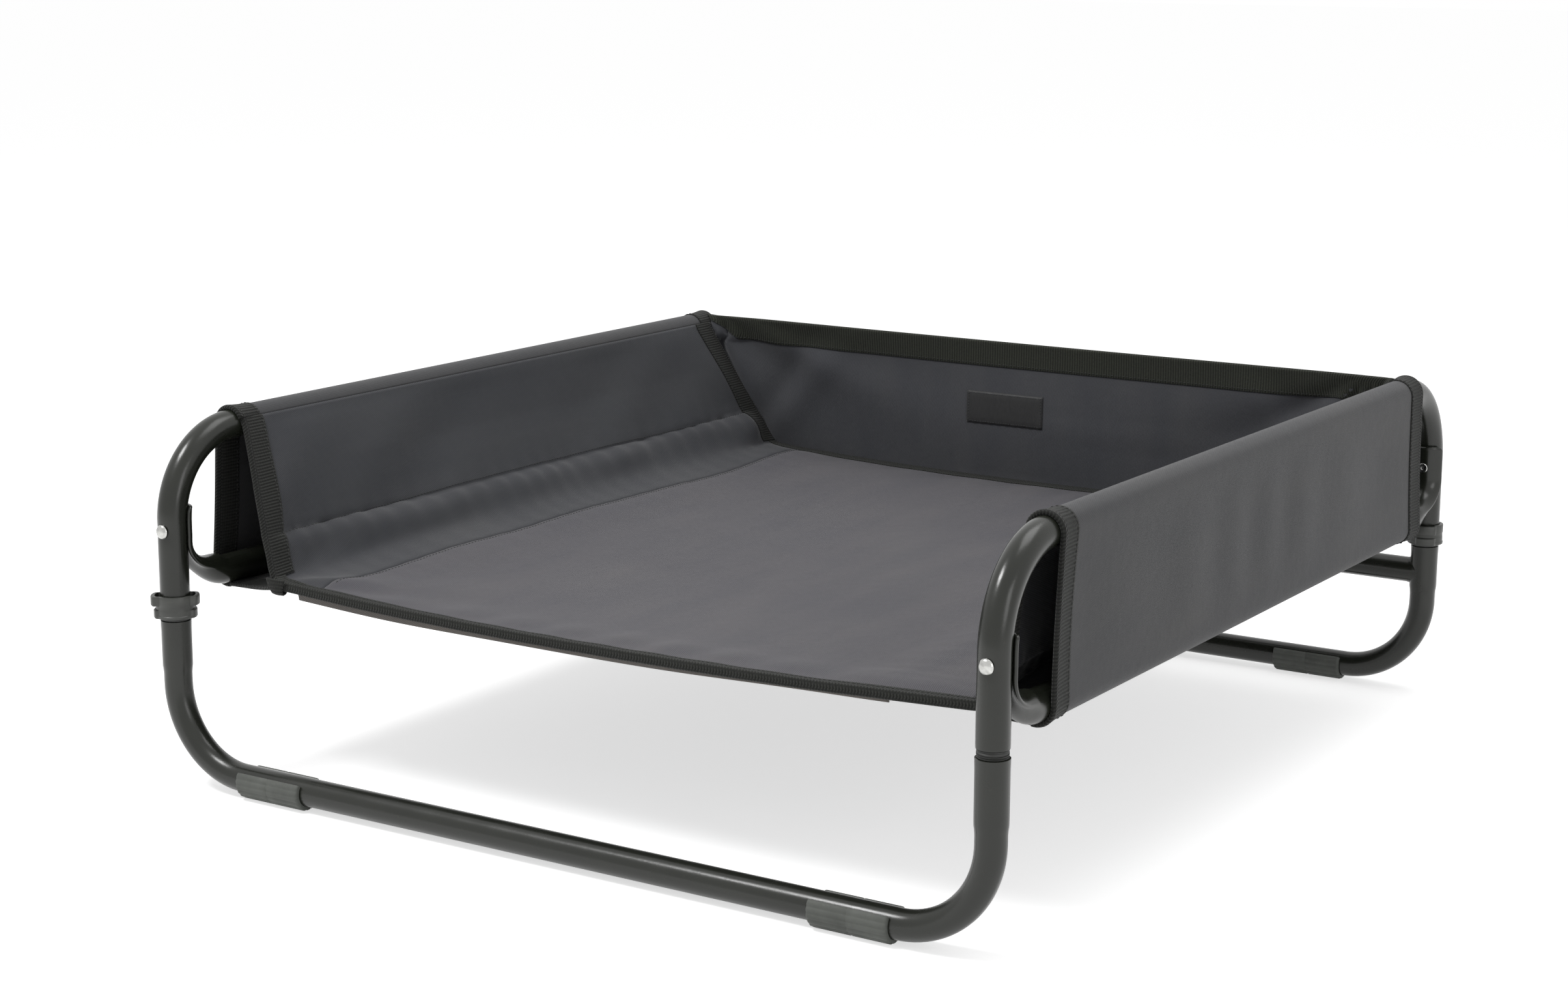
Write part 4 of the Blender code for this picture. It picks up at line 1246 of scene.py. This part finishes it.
def build_under_strip():
    """Second layer of cloth that shows below the front hem, deeper on the left."""
    start_y = EDGE_INSET - SEAT_LOW_Y + 0.0012
    rows = []
    for x in np.linspace(STRIP_X, STRIP_X + STRIP_LENGTH, 140):
        top = float(seat_profile(x, EDGE_SOFTNESS)) - 0.0017
        depth = 0.0066 - 0.0036 * (x - STRIP_X) / STRIP_LENGTH + 0.0004 * math.sin(31 * x)
        lean = 0.0008 + 0.0005 * math.sin(40 * x)
        rows.append([(x, start_y + lean * k, top - depth * k) for k in np.linspace(0, 1, 7)])
    strip = cloth(
        "front_under_strip_cloth", rows, "lining", "right_side", "lining_fabric", "front_under_strip",
        thick=STRIP_THICK)


# Studio

def build_floor():
    far = 20
    corners = [(-far, -far, 0), (far, -far, 0), (far, far, 0), (-far, far, 0)]
    mesh = bpy.data.meshes.new("floor")
    mesh.from_pydata(corners, [], [(0, 1, 2, 3)])
    floor = bpy.data.objects.new("floor", mesh)
    bpy.context.scene.collection.objects.link(floor)
    g = new_look("pale_floor")
    g.set(base_color=(0.82, 0.82, 0.82, 1.0), roughness=0.9, specular_ior_level=0.0)
    glow = g.math("MULTIPLY", seen_directly(g), FLOOR_GLOW)
    g.set(emission_color=(1.0, 1.0, 1.0, 1.0), emission_strength=glow)
    mesh.materials.append(g.owner)


def seen_directly(g):
    """1 where the camera, a reflection or a refraction sees it, and 0 for the light on the object."""
    path = g.nodes.new("ShaderNodeLightPath")
    either = g.math("MAXIMUM", path.outputs["Is Camera Ray"], path.outputs["Is Glossy Ray"])
    return g.math("MAXIMUM", either, path.outputs["Is Transmission Ray"])


def build_world():
    world = bpy.data.worlds.new("studio")
    bpy.context.scene.world = world
    g = Graph(world, "Background")
    g.set(color=(1.0, 1.0, 1.0, 1.0), strength=g.span(seen_directly(g), WORLD_LIGHT, 1.0, 0.0, 1.0))


def softbox(name, place, aim_z, size, power):
    light = bpy.data.lights.new(name, "AREA")
    light.shape = "RECTANGLE"
    light.size, light.size_y = size
    light.energy = power
    obj = bpy.data.objects.new(name, light)
    bpy.context.scene.collection.objects.link(obj)
    obj.location = place
    way = Vector((0.0, 0.0, aim_z)) - Vector(place)
    obj.rotation_euler = way.to_track_quat("-Z", "Y").to_euler()


def build_lights():
    softbox("key_softbox", (-0.9, -1.3, 2.2), 0.1, (0.7, 0.55), 30.0)
    softbox("top_softbox", (0.5, 0.5, 2.4), 0.1, (1.4, 1.2), 16.0)
    softbox("right_softbox", (2.4, -1.0, 1.0), 0.15, (0.8, 1.2), 8.0)


def build_camera():
    """Camera at the photograph's place: yaw from +Y, pitch down and a slight roll."""
    place = (1.1194, -1.8329, 0.6346)
    yaw = -0.56834
    pitch = 0.20158
    roll = 0.00395
    level = math.cos(pitch)
    forward = np.array([math.sin(yaw) * level, math.cos(yaw) * level, -math.sin(pitch)])
    right = unit(np.cross(forward, [0.0, 0.0, 1.0]))
    up = np.cross(right, forward)
    matrix = np.eye(4)
    matrix[:3, 0] = math.cos(roll) * right + math.sin(roll) * up
    matrix[:3, 1] = math.cos(roll) * up - math.sin(roll) * right
    matrix[:3, 2] = -forward
    matrix[:3, 3] = place
    data = bpy.data.cameras.new("camera")
    data.lens = 63.85
    data.sensor_width = 36.0
    data.sensor_fit = "HORIZONTAL"
    data.clip_start = 0.05
    data.clip_end = 60.0
    camera = bpy.data.objects.new("camera", data)
    bpy.context.scene.collection.objects.link(camera)
    camera.matrix_world = Matrix(matrix.tolist())
    bpy.context.scene.camera = camera


LOOKS = make_looks()
build_camera()
build_frame()
build_fittings()
build_sleeves()
build_seat()
build_back()
build_under_strip()
build_floor()
build_world()
build_lights()
bpy.context.scene.view_settings.view_transform = "Standard"
